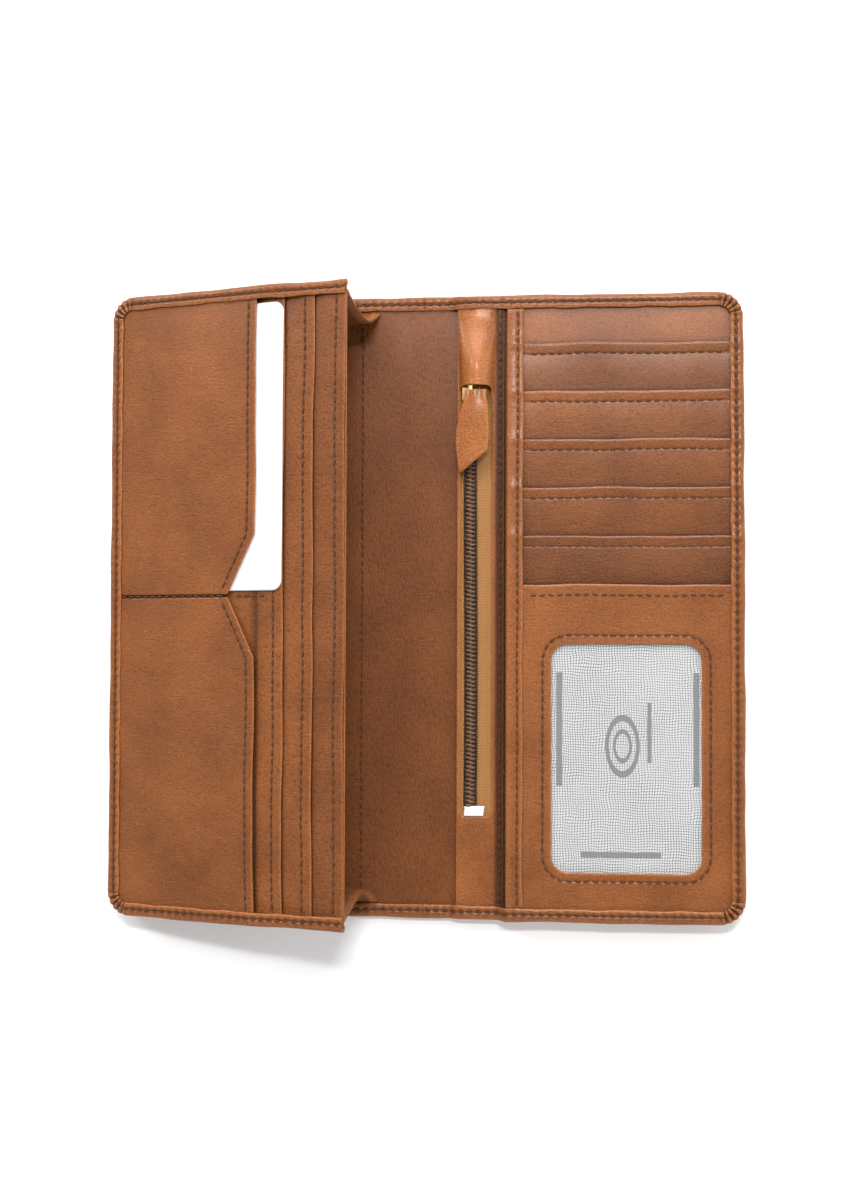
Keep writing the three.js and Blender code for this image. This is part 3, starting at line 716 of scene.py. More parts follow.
class Piece:
    """A piece that is made whole on a skin of its own."""

    def make(
        self, name: str, finish: Finish, body: str, *nodes: str, tone: float = 0.0, board: Board = FLAT
    ) -> bpy.types.Object:
        """Makes the piece, with the arguments of Skin.finish and of Skin itself."""
        skin = Skin(board, tone)
        self.add_to(skin)
        return skin.finish(name, finish, body, *nodes)


@dataclass
class Panel(Piece):
    """A flat piece of leather or card between a left and a right edge, with rounded edges and seams beside them."""

    low: tuple[float, float]
    high: tuple[float, float]
    z: tuple[float, float]
    left: Callable[[Array], Array] | None = None
    right: Callable[[Array], Array] | None = None
    seams: dict[str, float] = field(default_factory=dict)
    covers: dict[str, float] = field(default_factory=dict)
    shade_drop: float = 0.0  # painted shade: how much darker the leather is painted from its upper mouth down to its cover
    worn_and_lit: tuple[str, ...] = ()
    cut: tuple[str, ...] = ()
    spacing: float = 3.0
    warp: Warp | None = None
    extra_rows: tuple[float, ...] = ()

    def add_to(self, skin: Skin) -> None:
        """Adds the panel to a skin."""
        ys = axis_steps(
            np.array([self.low[1]]),
            np.array([self.high[1]]),
            offsets(self.seams.get("low"), self.covers.get("low")),
            offsets(self.seams.get("high"), self.covers.get("high")),
            self.spacing,
        )[0]
        if self.extra_rows:
            ys = np.unique(np.concatenate([ys, np.array(self.extra_rows)]))
        x_left = self.left(ys) if self.left else np.full_like(ys, self.low[0])
        x_right = self.right(ys) if self.right else np.full_like(ys, self.high[0])
        firsts = offsets(self.seams.get("left"), self.covers.get("left"))
        lasts = offsets(self.seams.get("right"), self.covers.get("right"))
        xs = axis_steps(x_left, x_right, firsts, lasts, self.spacing)
        y = np.broadcast_to(ys[:, None], xs.shape)
        away = {
            "left": xs - x_left[:, None],
            "right": x_right[:, None] - xs,
            "low": y - self.low[1],
            "high": self.high[1] - y,
        }
        half = (self.z[1] - self.z[0]) / 2
        middle = (self.z[1] + self.z[0]) / 2
        shape = np.minimum.reduce([rounding(d, EDGE_ROUNDING) for side, d in away.items() if side not in self.cut])
        groove = sum((hump(away[side], d, SEAM_REACH) for side, d in self.seams.items()), np.zeros_like(xs))
        top = np.stack([xs, y, middle + half * shape - SEAM_DIP * groove], axis=-1)
        bottom = np.stack([xs, y, middle - half * shape], axis=-1)
        # Edges on the listed sides painted lighter: partly rubbed leather, partly painted highlight where light catches
        # them.
        wear = sum((np.exp(-away[side] / 0.35) for side in self.worn_and_lit), np.zeros_like(xs))
        # A painted shade band just inside each such edge.
        under = sum((hump(away[side], 1.15, 0.5) for side in self.worn_and_lit), np.zeros_like(xs))
        # Painted shadow on this panel along the mouth of the layer that lies over it.
        hidden = sum((np.exp(-np.abs(d - away[side]) / 0.6) for side, d in self.covers.items()), 0 * xs)
        # Painted shade in the seam groove, plus the two bands above.
        crease = 0.4 * groove + 0.15 * under + 0.8 * hidden
        # Painted shade, growing from the mouth's seam down towards the next cover.
        crease = crease + self.shade_drop * smooth(away["high"], MOUTH_STITCH, 14)
        flat = folded(top, bottom)
        points = self.warp(flat.copy()) if self.warp else flat
        skin.rings(points, folded(wear, wear), folded(crease, 0 * crease), flat=flat)


def rounded_side(edge: float, inward: float, low: float, high: float, radius: float) -> Callable[[Array], Array]:
    """An edge that draws in round a corner at each end.

    Args:
        edge: where the straight edge lies.
        inward: 1 if the piece lies on the side of larger values, or -1.
        low: one end of the edge.
        high: its other end.
        radius: of both corners.

    Returns:
        The edge's place as a function of the place along it.
    """

    def place(along: Array) -> Array:
        """The edge at each place along it."""
        near = np.minimum(along - low, high - along)
        t = np.clip(1 - near / radius, 0, 1)
        return edge + inward * radius * (1 - np.sqrt(np.maximum(1 - t * t, 0)))

    return place


@dataclass
class FramePanel(Piece):
    """A flat leather frame around a hole with rounded corners."""

    low: tuple[float, float]
    high: tuple[float, float]
    hole_low: tuple[float, float]
    hole_high: tuple[float, float]
    radius: float
    z: tuple[float, float]
    hole_seam: float | None = None
    warp: Warp | None = None
    rounded: tuple[int, ...] = ()  # the frame's corners that are rounded too, from the lowest, anticlockwise
    # Painted shade laid on the frame, from its flat points.
    stain_and_shade: Callable[[Array], Array] | None = None
    # Painted highlight laid on the frame, from its flat points.
    shine: Callable[[Array], Array] | None = None

    def add_to(self, skin: Skin) -> None:
        """Adds the frame to a skin."""
        inner, outer = self._loops()
        length = np.linalg.norm(outer - inner, axis=1)[:, None]
        direction = (outer - inner) / length
        first = np.minimum(offsets(self.hole_seam)[None, :], 0.45 * length)
        last = np.minimum(offsets(None)[None, :], 0.45 * length)
        inside = np.linspace(0, 1, 14)[1:-1][None, :]
        start, end = first[:, -1:], length - last[:, -1:]
        along = np.concatenate([first, start + (end - start) * inside, (length - last)[:, ::-1]], axis=1)
        xy = inner[:, None, :] + direction[:, None, :] * along[:, :, None]
        rest = length - along
        shape = np.minimum(rounding(along, EDGE_ROUNDING), rounding(rest, EDGE_ROUNDING))
        groove = np.zeros_like(along) if self.hole_seam is None else hump(along, self.hole_seam, SEAM_REACH)
        half, middle = (self.z[1] - self.z[0]) / 2, (self.z[1] + self.z[0]) / 2
        top = np.concatenate([xy, (middle + half * shape - SEAM_DIP * groove)[..., None]], axis=-1)
        bottom = np.concatenate([xy, (middle - half * shape)[..., None]], axis=-1)
        # Edges painted lighter: partly rubbed leather, partly painted highlight.
        wear = np.exp(-along / 0.35) + np.exp(-rest / 0.35)
        flat = folded(top, bottom)
        points = self.warp(flat.copy()) if self.warp else flat
        # Painted shade in the groove of the seam round the hole.
        wear, crease = folded(wear, wear), folded(0.35 * groove, 0 * groove)
        if self.stain_and_shade:
            crease = crease + self.stain_and_shade(flat)
        if self.shine:
            wear = wear + self.shine(flat)
        skin.rings(points, wear, crease, looped=True, flat=flat)

    def _loops(self) -> tuple[Array, Array]:
        """The hole's outline and the frame's, point for point."""
        corners = [
            (self.hole_low[0], self.hole_low[1], self.low[0], self.low[1], 180),
            (self.hole_high[0], self.hole_low[1], self.high[0], self.low[1], 270),
            (self.hole_high[0], self.hole_high[1], self.high[0], self.high[1], 0),
            (self.hole_low[0], self.hole_high[1], self.low[0], self.high[1], 90),
        ]
        r = self.radius
        inner: list[Array] = []
        outer: list[Array] = []
        for number, (hx, hy, ox, oy, start) in enumerate(corners):
            centre = np.array([hx + (r if number in (0, 3) else -r), hy + (r if number in (0, 1) else -r)])
            feet = [np.array([ox, centre[1]]), np.array([centre[0], oy])]
            if number in (1, 3):
                feet.reverse()
            corner = np.array([ox, oy])
            for t in np.linspace(0, 1, 13):
                angle = math.radians(start + 90 * t)
                inner.append(centre + r * np.array([math.cos(angle), math.sin(angle)]))
                share = 2 * t if t <= 0.5 else 2 * t - 1
                a, b = (feet[0], corner) if t <= 0.5 else (corner, feet[1])
                foot = a + (b - a) * share
                turn = corner + (INNER_CORNER) * np.sign(centre - corner)
                past = (foot - turn) * np.sign(corner - turn)
                if number in self.rounded and past.min() > 0:
                    foot = turn + (foot - turn) * (INNER_CORNER) / np.linalg.norm(foot - turn)
                outer.append(foot)
        return self._between(np.array(inner), np.array(outer))

    @staticmethod
    def _between(inner: Array, outer: Array) -> tuple[Array, Array]:
        """Adds points along the straight sides of both outlines."""
        spacing = 1.5
        loops: tuple[list[Array], list[Array]] = ([], [])
        for i in range(len(inner)):
            j = (i + 1) % len(inner)
            steps = max(1, int(np.linalg.norm(inner[j] - inner[i]) / spacing))
            for t in np.arange(steps) / steps:
                loops[0].append(inner[i] + (inner[j] - inner[i]) * t)
                loops[1].append(outer[i] + (outer[j] - outer[i]) * t)
        return np.array(loops[0]), np.array(loops[1])


# ------------------------------------------------------------------ turned hems


@dataclass
class Hem:
    """The turned edge round three sides of a board, pleated at its two corners, with a seam along it."""

    near: float
    far: float
    half_height: float
    top: Callable[[Array, Array], Array]
    board: Board = FLAT
    seed: float = 0.0
    pleats: int = 5
    step: float = 0.66

    def stations(self) -> tuple[Array, Array, Array]:
        """Places along the outer edge.

        Returns:
            The places, the directions inwards, and how far into a corner each is, from 0 to 1, or -1.
        """
        side = math.copysign(1.0, self.far - self.near)
        corner_x = self.far - side * CORNER
        corner_y = self.half_height - CORNER
        straight = np.linspace(self.near, corner_x, max(2, int(abs(corner_x - self.near) / self.step)))
        bend = np.linspace(0, 1, 41)[1:-1]
        rise = np.linspace(-corner_y, corner_y, int(2 * corner_y / self.step))
        parts = []
        for end in (-1, 1):
            angle = bend * math.pi / 2 if end < 0 else (1 - bend) * math.pi / 2
            across, up = np.sin(angle), end * np.cos(angle)
            place = np.stack([corner_x + side * CORNER * across, end * corner_y + CORNER * up], axis=1)
            parts.append((place, np.stack([-side * across, -up], axis=1), bend))
        low = np.stack([straight, np.full_like(straight, -self.half_height)], axis=1)
        wall = np.stack([np.full_like(rise, self.far), rise], axis=1)
        high = low[::-1] * [1, -1]
        places = [low, parts[0][0], wall, parts[1][0], high]
        inwards = [
            np.tile([0.0, 1.0], (len(low), 1)),
            parts[0][1],
            np.tile([-side, 0.0], (len(wall), 1)),
            parts[1][1],
            np.tile([0.0, -1.0], (len(high), 1)),
        ]
        share = [np.full(len(low), -1.0), bend, np.full(len(wall), -1.0), bend, np.full(len(high), -1.0)]
        return np.concatenate(places), np.concatenate(inwards), np.concatenate(share)

    def _section(self, height: Array) -> tuple[Array, Array, Array, Array, Array]:
        """The hem's closed section at each station: depth, height, lip share, how much lighter it is painted for
        rubbing and painted sheen, and its painted shade.
        """
        turn = np.radians(np.linspace(180, 90, 7))
        bottom = np.radians(np.linspace(270, 200, 4))
        top_r, low_r = 1.0, 0.5
        # Each lip row: depth, height, how much lighter it is painted (rubbed edge and painted sheen), and its painted
        # shade (in the seam groove and under the lip).
        lip = [
            (1.6, 0.05, 0.0, 0.0),
            (2.05, 0.0, 0.0, 0.1),
            (2.3, -0.15, 0.0, 0.4),
            (2.5, -0.22, 0.0, 0.6),
            (2.7, -0.15, 0.0, 0.4),
            (2.95, 0.0, 0.1, 0.1),
            (3.5, 0.04, 0.3, 0.0),
            (3.95, -0.03, 0.8, 0.0),
            (4.2, -0.14, 1.0, 0.0),
            (4.3, -0.3, 0.7, 0.1),
            (4.22, -0.5, 0.1, 0.6),
            (3.9, -0.6, 0.0, 0.9),
            (1.6, -0.6, 0.0, 0.9),
        ]
        rows = []
        for angle in turn:
            rows.append((top_r + top_r * math.cos(angle), top_r * math.sin(angle) - top_r, 1.0, 0.25, 0.0))
        rows += [(d, z, 1.0, w, c) for d, z, w, c in lip]
        rows += [(1.6, 0.35, 0.0, 0.0, 0.9), (1.9, 0.0, 0.0, 0.0, 0.0), (low_r + 0.6, 0.0, 0.0, 0.0, 0.0)]
        for angle in bottom:
            rows.append((low_r + low_r * math.cos(angle), low_r + low_r * math.sin(angle), 0.0, 0.3, 0.0))
        depth, z, lip_share, wear, crease = (np.array(column) for column in zip(*rows, strict=True))
        heights = z[None, :] + lip_share[None, :] * height[:, None]
        return depth, heights, lip_share, wear, crease

    def add_to(self, skin: Skin) -> None:
        """Adds the hem to a skin."""
        place, inward, share = self.stations()
        run = np.concatenate([[0], np.cumsum(np.linalg.norm(np.diff(place, axis=0), axis=1))])
        height = self.top(place[:, 0], place[:, 1])
        depth, heights, lip_share, wear, crease = self._section(height)
        settle = smooth(np.abs(place[:, 0]), 2, 14) if self.board is FLAT else np.ones(len(place))
        drift = 0.22 * settle * (1 + sway(run, self.seed, 46.0)) * smooth(np.minimum(run, run[-1] - run), 0, 6)
        lip_drift = 0.2 * settle * sway(run, self.seed + 1.7, 17.0)
        ridge = np.abs(np.sin(np.clip(share, 0, 1) * math.pi * self.pleats + 0.35))
        in_corner = np.where(share >= 0, np.sin(np.clip(share, 0, 1) * math.pi) ** 0.35, 0.0)
        valley = in_corner * (1 - ridge) ** 1.5
        over = np.clip(depth[None, :] + 0.1, 0, 1) * lip_share[None, :]
        pulled = np.cos(run * 2 * math.pi / STITCH_PITCH)[:, None] * hump(depth, HEM_STITCH, 1.3)[None, :]
        deep = np.repeat(depth[None, :], len(place), axis=0)
        deep = deep + drift[:, None] * (1 - np.clip(depth / 3, 0, 1))[None, :]
        deep += lip_drift[:, None] * np.clip((depth - 2.6) / 1.5, 0, 1)[None, :] * lip_share[None, :]
        deep += (0.35 * valley)[:, None] * (depth < 0.6)[None, :]
        z = heights - (0.75 * valley)[:, None] * over + (0.28 * in_corner * ridge)[:, None] * over
        z = z + 0.11 * pulled * lip_share[None, :]
        xy = place[:, None, :] + inward[:, None, :] * deep[:, :, None]
        points = np.concatenate([xy, z[..., None]], axis=-1)
        # Pleat ridges and the puckers between stitches painted lighter as painted highlight, on top of the rubbed and
        # lit lip.
        worn_and_lit = wear[None, :] + 0.5 * (in_corner * ridge**2)[:, None] * over + 0.3 * np.maximum(pulled, 0) * lip_share
        # Painted shade in the pleats' valleys and at the stitch holes.
        hem_shade = crease[None, :] * (1 - 0.5 * in_corner)[:, None] + 0.85 * valley[:, None] * over
        hem_shade = hem_shade + 0.3 * np.maximum(-pulled, 0) * lip_share[None, :]
        skin.rings(points, worn_and_lit, hem_shade)

    def seam_line(self, under: bool = False) -> tuple[Array, Array]:
        """The line of the hem's seam.

        Args:
            under: whether it is on the outer face, instead of on the lip.

        Returns:
            The line, and the way up at each of its points.
        """
        place, inward, share = self.stations()
        inside = (share < 0) | (np.abs(share - 0.5) > 0.42)
        if under:
            inside[:] = True
        xy = place + inward * HEM_STITCH
        z = np.full(len(place), 0.36) if under else self.top(place[:, 0], place[:, 1]) - 0.12
        line = np.concatenate([xy, z[:, None]], axis=1)[inside]
        up = np.tile([0.0, 0.0, -1.0 if under else 1.0], (len(line), 1))
        return line, up


# ------------------------------------------------------------------ stitching


@dataclass
class Stitching:
    """Rows of thread, each stitch a short bowed strand whose ends dip into the leather."""

    length: float = 2.0
    width: float = 0.5
    pitch: float = STITCH_PITCH
    rise: float = 0.2

    def row(self, skin: Skin, line: Array, up: Array | tuple = (0.0, 0.0, 1.0)) -> None:
        """Adds one row of stitches along a line.

        Args:
            skin: the skin that takes them.
            line: points of the seam on the board, in millimetres.
            up: the way out of the leather, for all points or for each.
        """
        line = np.asarray(line, float)
        up = np.broadcast_to(np.asarray(up, float), line.shape)
        gaps = np.linalg.norm(np.diff(line, axis=0), axis=1)
        run = np.concatenate([[0], np.cumsum(gaps)])
        broken = np.flatnonzero(gaps > 3 * self.pitch) if len(line) > 2 else np.array([], int)
        starts, ends = [0, *(broken + 1)], [*broken, len(line) - 1]
        for start, end in zip(starts, ends, strict=True):
            count = int((run[end] - run[start]) / self.pitch)
            if count < 1:
                continue
            spare = (run[end] - run[start] - count * self.pitch) / 2
            for number in range(count):
                middle = run[start] + spare + (number + 0.5) * self.pitch
                self._stitch(skin, line, up, run, middle, number)

    def _stitch(self, skin: Skin, line: Array, up: Array, run: Array, middle: float, number: int) -> None:
        """Adds one stitch."""
        half = self.length / 2
        along = np.linspace(-1, 1, 6)
        turn = 0.035 * math.sin(2.4 * number)
        here = np.stack([np.interp(middle + half * along, run, line[:, axis]) for axis in range(3)], axis=1)
        out = np.array([np.interp(middle, run, up[:, axis]) for axis in range(3)])
        ahead = here[-1] - here[0]
        ahead /= np.linalg.norm(ahead)
        side = np.cross(out, ahead)
        side /= np.linalg.norm(side)
        girth = self.width / 2 * np.sqrt(np.maximum(1 - 0.82 * along**6, 0.1))
        bow = self.rise * (1 - 1.6 * along**4) + 0.02 * math.sin(5.3 * number)
        centre = here + out * bow[:, None] + side * (turn * along * 4)[:, None]
        skin.rings(strand(centre, side, 0.8 * out, girth))


def seams(name: str, body: str, rows: Sequence[Row], board: Board = FLAT) -> bpy.types.Object:
    """One piece with several rows of stitches."""
    skin = Skin(board)
    sewing = Stitching()
    for line, up in rows:
        sewing.row(skin, line, up)
    return skin.finish(name, Finish.THREAD, body)


def straight(start: tuple[float, ...], end: tuple[float, ...]) -> Array:
    """A line with a point every millimetre."""
    a, b = np.array(start, float), np.array(end, float)
    return np.linspace(a, b, max(2, int(np.linalg.norm(b - a))))


def bend_over(piece: bpy.types.Object, first: str, second: str, fold_x: float) -> None:
    """Lets a piece bend between two bodies round one of the spine's fold lines."""
    start, end = (fold_x - FOLD_REACH) * MM, (fold_x + FOLD_REACH) * MM
    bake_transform(piece, first, second, start=(start, 0, 0), end=(end, 0, 0))


# ------------------------------------------------------------------ covers and lining


def half_sheet(far: float, half: float, z: tuple[float, float], **more: object) -> Panel:
    """A sheet from the spine's middle to an edge with rounded corners; more goes to its Panel."""
    side = math.copysign(1.0, far)
    edge = rounded_side(far, -side, -half, half, CORNER)
    ends = {"left": edge, "cut": ("right",)} if side < 0 else {"right": edge, "cut": ("left",)}
    return Panel((min(0.0, far), -half), (max(0.0, far), half), z, **ends, **more)


@dataclass
class Covers:
    """The outer leather with its turned hems, and the lining inside it."""

    outer: Span = field(default_factory=lambda: Span(FLAT.span("cover_left").low, FLAT.span("cover_right").high))
    low_top: float = FLAT.span("cover_left").high[2]
    zip_top: float = FLAT.span("zip_panel").high[2] + AIR + LIP
    card_top: float = FLAT.span("cover_right").high[2]
    slot_top: float = FLAT.span("slot_panel_1").high[2] + AIR + LIP
    zip_x: float = FLAT.span("zip_panel").low[0]
    trim_x: float = FLAT.span("card_trim").low[0]
    first_mouth: float = FLAT.span("slot_panel_1").high[1]
    id_mouth: float = FLAT.span("id_panel").high[1]

    def card_height(self, y: Array) -> Array:
        """The height of the hem and of the binding strip beside the card slots."""
        share = np.clip((np.asarray(y) - self.id_mouth - 1.5) / (self.first_mouth + 2.8 - self.id_mouth), 0, 1)
        steps = sum(hump(y, FLAT.span(f"slot_panel_{n}").high[1], 1.6) for n in range(1, 6))
        return self.card_top + (self.slot_top - self.card_top) * share + 0.22 * steps

    def right_top(self, x: Array, y: Array) -> Array:
        """The height of the right cover's hem."""
        over_zip = self.low_top + (self.zip_top - self.low_top) * smooth(x, self.zip_x - 2.2, self.zip_x + 0.6)
        over_zip = over_zip + 1.0 * hump(x, self.zip_x + 6, 4.2) * (np.asarray(y) > 0)
        return over_zip + (self.card_height(y) - over_zip) * smooth(x, self.trim_x - 3.0, self.trim_x + 0.4)

    def hems(self) -> tuple[Hem, Hem]:
        """The left and the right hem."""
        half = self.outer.high[1]
        left = Hem(0.0, self.outer.low[0], half, lambda x, y: np.full_like(x, self.low_top), seed=0.4)
        right = Hem(0.0, self.outer.high[0], half, self.right_top, seed=2.3)
        return left, right

    def build(self) -> None:
        """Builds both halves, each from the middle of the spine outwards."""
        left, right = self.hems()
        self._half("cover_left_skin", left, "left_cover", "spine", -FOLD_X, "cover_left", "cover_spine")
        self._half("cover_right_skin", right, "spine", "right_cover", FOLD_X, "cover_right")
        self._lining()
        self._marks()

    def _half(self, name: str, hem: Hem, first: str, second: str, fold: float, *nodes: str) -> None:
        """One half of the outer leather, from the spine's middle to its edge, with its seam."""
        side = math.copysign(1.0, hem.far)
        half = hem.half_height - INSET
        rows = tuple(s * (half - CORNER * step) for s in (-1, 1) for step in (0.1, 0.25, 0.4, 0.6, 0.8, 1.0))
        skin = Skin()
        panel = half_sheet(hem.far - side * INSET, half, (0.03, 1.0), spacing=2.2, extra_rows=rows)
        panel.add_to(skin)
        hem.add_to(skin)
        cover = skin.finish(name, Finish.TAN, "", *nodes)
        bend_over(cover, first, second, fold)
        rows = [hem.seam_line(), hem.seam_line(under=True)]
        thread = seams(name.replace("skin", "stitching"), "", rows)
        bend_over(thread, first, second, fold)

    def _lining(self) -> None:
        """The lining, bent at each fold line, with the faint seam that holds the left pocket."""
        sheet = FLAT.span("lining_left")
        inset = 1.0
        half = self.outer.high[1] - inset
        height = (sheet.low[2], sheet.high[2])
        ripple: Warp = lambda p: p + np.stack(
            [0 * p[..., 0], 0 * p[..., 0], 0.12 * sway(p[..., 0], 1.0, 23) * sway(p[..., 1], 2.0, 61)], axis=-1
        ) * smooth(np.abs(p[..., 0]), 0, 6)[..., None]
        halves = (
            (
                "lining_left_skin",
                self.outer.low[0] + inset,
                "left_cover",
                "spine",
                -FOLD_X,
                ("lining_left", "lining_spine"),
            ),
            ("lining_right_skin", self.outer.high[0] - inset, "spine", "right_cover", FOLD_X, ("lining_right",)),
        )
        for name, far, first, second, fold, nodes in halves:
            lining = half_sheet(far, half, height, spacing=2.0, warp=ripple).make(name, Finish.LINING, "", *nodes)
            bend_over(lining, first, second, fold)
        x, z = -18.7, height[1] + 0.03
        line = straight((x, -half + HEM_WIDTH, z), (x, half - HEM_WIDTH, z))
        seams("lining_stitching", "left_cover", [(line, UP)])

    @staticmethod
    def _marks() -> None:
        """Gives the hidden boards, the pouch and the hinge strip their finishes."""
        hidden = {
            "stiffener_left": Finish.BOARD,
            "stiffener_right": Finish.BOARD,
            "coin_pouch": Finish.POUCH,
            "leaf_hinge_strip": Finish.POUCH,
        }
        for node, finish in hidden.items():
            piece = frame["nodes"][node]
            piece.data.materials.clear()
            piece.data.materials.append(finish.material)


# ------------------------------------------------------------------ the leaf


@dataclass
class Leaf:
    """The raised pocket leaf: back, pockets with their mouths and seams, and the card in the upper one."""

    back: Span = field(default_factory=lambda: LEAF.span("leaf_back"))
    divider: float = (LEAF.span("leaf_pocket_upper").low[1] + LEAF.span("leaf_pocket_lower").high[1]) / 2
    notch: tuple[float, float] = (9.2, 18.0)
    mouth_seam: float = 2.6  # from a front pocket's mouth
    card_radius: float = 3.18

    def hem_top(self, x: Array, y: Array) -> Array:
        """The hem's height, lower towards the free edge where fewer layers lie under it."""
        width = self.back.high[0]
        front = LEAF.span("leaf_pocket_upper").high[0]
        low = LEAF.span("leaf_panel_rear").high[2] + AIR + LIP
        high = self.back.high[2]
        share = np.clip((np.asarray(x) - front) / (width - front), 0, 1)
        return high + (low - high) * share + 0 * y

    def build(self) -> None:
        """Builds the leaf."""
        width, half = self.back.high[0], self.back.high[1]
        hem = Hem(width, 0.0, half, self.hem_top, board=LEAF, seed=5.1)
        low, high = -half + INSET, half - INSET
        edge = rounded_side(INSET, 1, low, high, CORNER)
        skin = Skin(LEAF)
        Panel((INSET, low), (width, high), (0.03, LIP), left=edge, worn_and_lit=("right",)).add_to(skin)
        hem.add_to(skin)
        skin.finish("leaf_back_skin", Finish.TAN, "leaf", "leaf_back")
        rows = [hem.seam_line(), hem.seam_line(under=True)]
        rows += self._pockets()
        seams("leaf_stitching", "leaf", rows, LEAF)
        self._card()

    def _dome(self, points: Array, amount: float = 0.7) -> Array:
        """Lifts the leaf's layers together into a slight crown, less at the hems."""
        reach_y = self.back.high[1] - HEM_WIDTH
        y = np.clip(np.abs(points[..., 1]) / reach_y, 0, 1)
        x = np.clip(points[..., 0] / self.back.high[0], 0, 1)
        lift = amount * (1 - y**4) * np.sin(np.pi * np.clip(x, 0.02, 0.98)) ** 0.7
        lift = lift + 0.14 * sway(points[..., 1] + 2 * points[..., 0], 3.0, 70) * (1 - y**6)
        raised = points.copy()
        raised[..., 2] += lift
        return raised

    def _mouth_wave(self, seed: float, mouth: float) -> Warp:
        """A slight wave along a pocket's mouth, which also stands a little off the layer behind."""

        def warp(points: Array) -> Array:
            """Moves the panel's points."""
            moved = self._dome(points)
            near = smooth(points[..., 0], mouth - 14, mouth)
            moved[..., 0] += 0.35 * near * sway(points[..., 1], seed, 90)
            moved[..., 2] += 0.12 * near * (1 + sway(points[..., 1], seed + 2, 60))
            return moved

        return warp

    def _pockets(self) -> list[Row]:
        """The pocket panels, and the rows of stitches on them."""
        half = self.back.high[1] - 1.1
        rows = []
        tones = {"leaf_panel_rear": -0.14, "leaf_pocket_third": 0.02, "leaf_pocket_second": 0.05}
        over = dict(zip(tones, ("leaf_pocket_third", "leaf_pocket_second", "leaf_pocket_upper"), strict=True))
        for number, (node, tone) in enumerate(tones.items()):
            span = LEAF.span(node)
            warp = self._mouth_wave(1.3 + number, span.high[0])
            Panel(
                (span.low[0], -half),
                (span.high[0] - (0.0 if number else 0.15), half),
                (span.low[2], span.high[2]),
                left=rounded_side(span.low[0], 1, -half, half, CORNER),
                seams={"right": MOUTH_STITCH},
                # Painted shadow where the next pocket's mouth lies over this one.
                covers={"right": span.high[0] - LEAF.span(over[node]).high[0]},
                worn_and_lit=("right",),
                warp=warp,
            ).make(f"{node}_leather", Finish.TAN, "leaf", node, tone=tone, board=LEAF)
            x, end = span.high[0] - MOUTH_STITCH, half - HEM_WIDTH + 1.5
            line = straight((x, -end, span.high[2]), (x, end, span.high[2]))
            rows.append((warp(line), UP))
        for end in (1, -1):
            rows += self._front_pocket(end, half)
        return rows

    def _front_pocket(self, end: int, half: float) -> list[Row]:
        """One of the two front pockets, its mouth cut back in a V beside the seam between them."""
        node = "leaf_pocket_upper" if end > 0 else "leaf_pocket_lower"
        span = LEAF.span(node)
        mouth = span.high[0]
        seam_y = span.low[1] if end > 0 else span.high[1]
        depth, run = self.notch
        warp = self._mouth_wave(4.0 + end, mouth)

        def right(y: Array) -> Array:
            """The mouth, with its V cut."""
            away = np.abs(y - seam_y)
            soft = np.clip(away / run, 0, 1)
            return mouth - depth * (1 - soft)

        low, high = (seam_y, half) if end > 0 else (-half, seam_y)
        Panel(
            (span.low[0], low),
            (mouth, high),
            (span.low[2], span.high[2]),
            left=rounded_side(span.low[0], 1, -half, half, CORNER),
            right=right,
            seams={"right": self.mouth_seam},
            worn_and_lit=("right",),
            spacing=2.4,
            warp=warp,
            extra_rows=tuple(seam_y + end * run * step for step in (0.96, 0.99, 1.01, 1.04)),
        ).make(f"{node}_leather", Finish.TAN, "leaf", node, tone=0.0 if end > 0 else -0.05, board=LEAF)
        ys = np.arange(seam_y + end * 1.5, end * (half - HEM_WIDTH + 1.5), end * 1.0)
        line = np.stack([right(ys) - self.mouth_seam, ys, np.full_like(ys, span.high[2])], axis=1)
        rows = [(warp(line), UP)]
        if end > 0:
            behind = LEAF.span("leaf_pocket_second").high
            for start, stop, z in (
                (HEM_WIDTH - 0.8, mouth - depth - 1, span.high[2] - 0.05),
                (mouth - depth + 1, behind[0] - MOUTH_STITCH - 1.5, behind[2] + 0.05),
            ):
                line = straight((start, self.divider, z), (stop, self.divider, z))
                rows.append((self._dome(line), UP))
        return rows

    def _card(self) -> None:
        """The loose white card."""
        span, radius = LEAF.span("spare_card"), self.card_radius
        low, high = span.low[1], span.high[1]
        near = radius * np.linspace(0.02, 1, 12)
        Panel(
            *span.corners,
            left=rounded_side(span.low[0], 1, low, high, radius),
            right=rounded_side(span.high[0], -1, low, high, radius),
            worn_and_lit=("left", "right", "low", "high"),
            extra_rows=tuple(np.concatenate([low + near, high - near])),
            warp=lambda p: self._dome(p, 0.62),
        ).make("spare_card_plastic", Finish.CARD, "loose_card", "spare_card", board=LEAF)


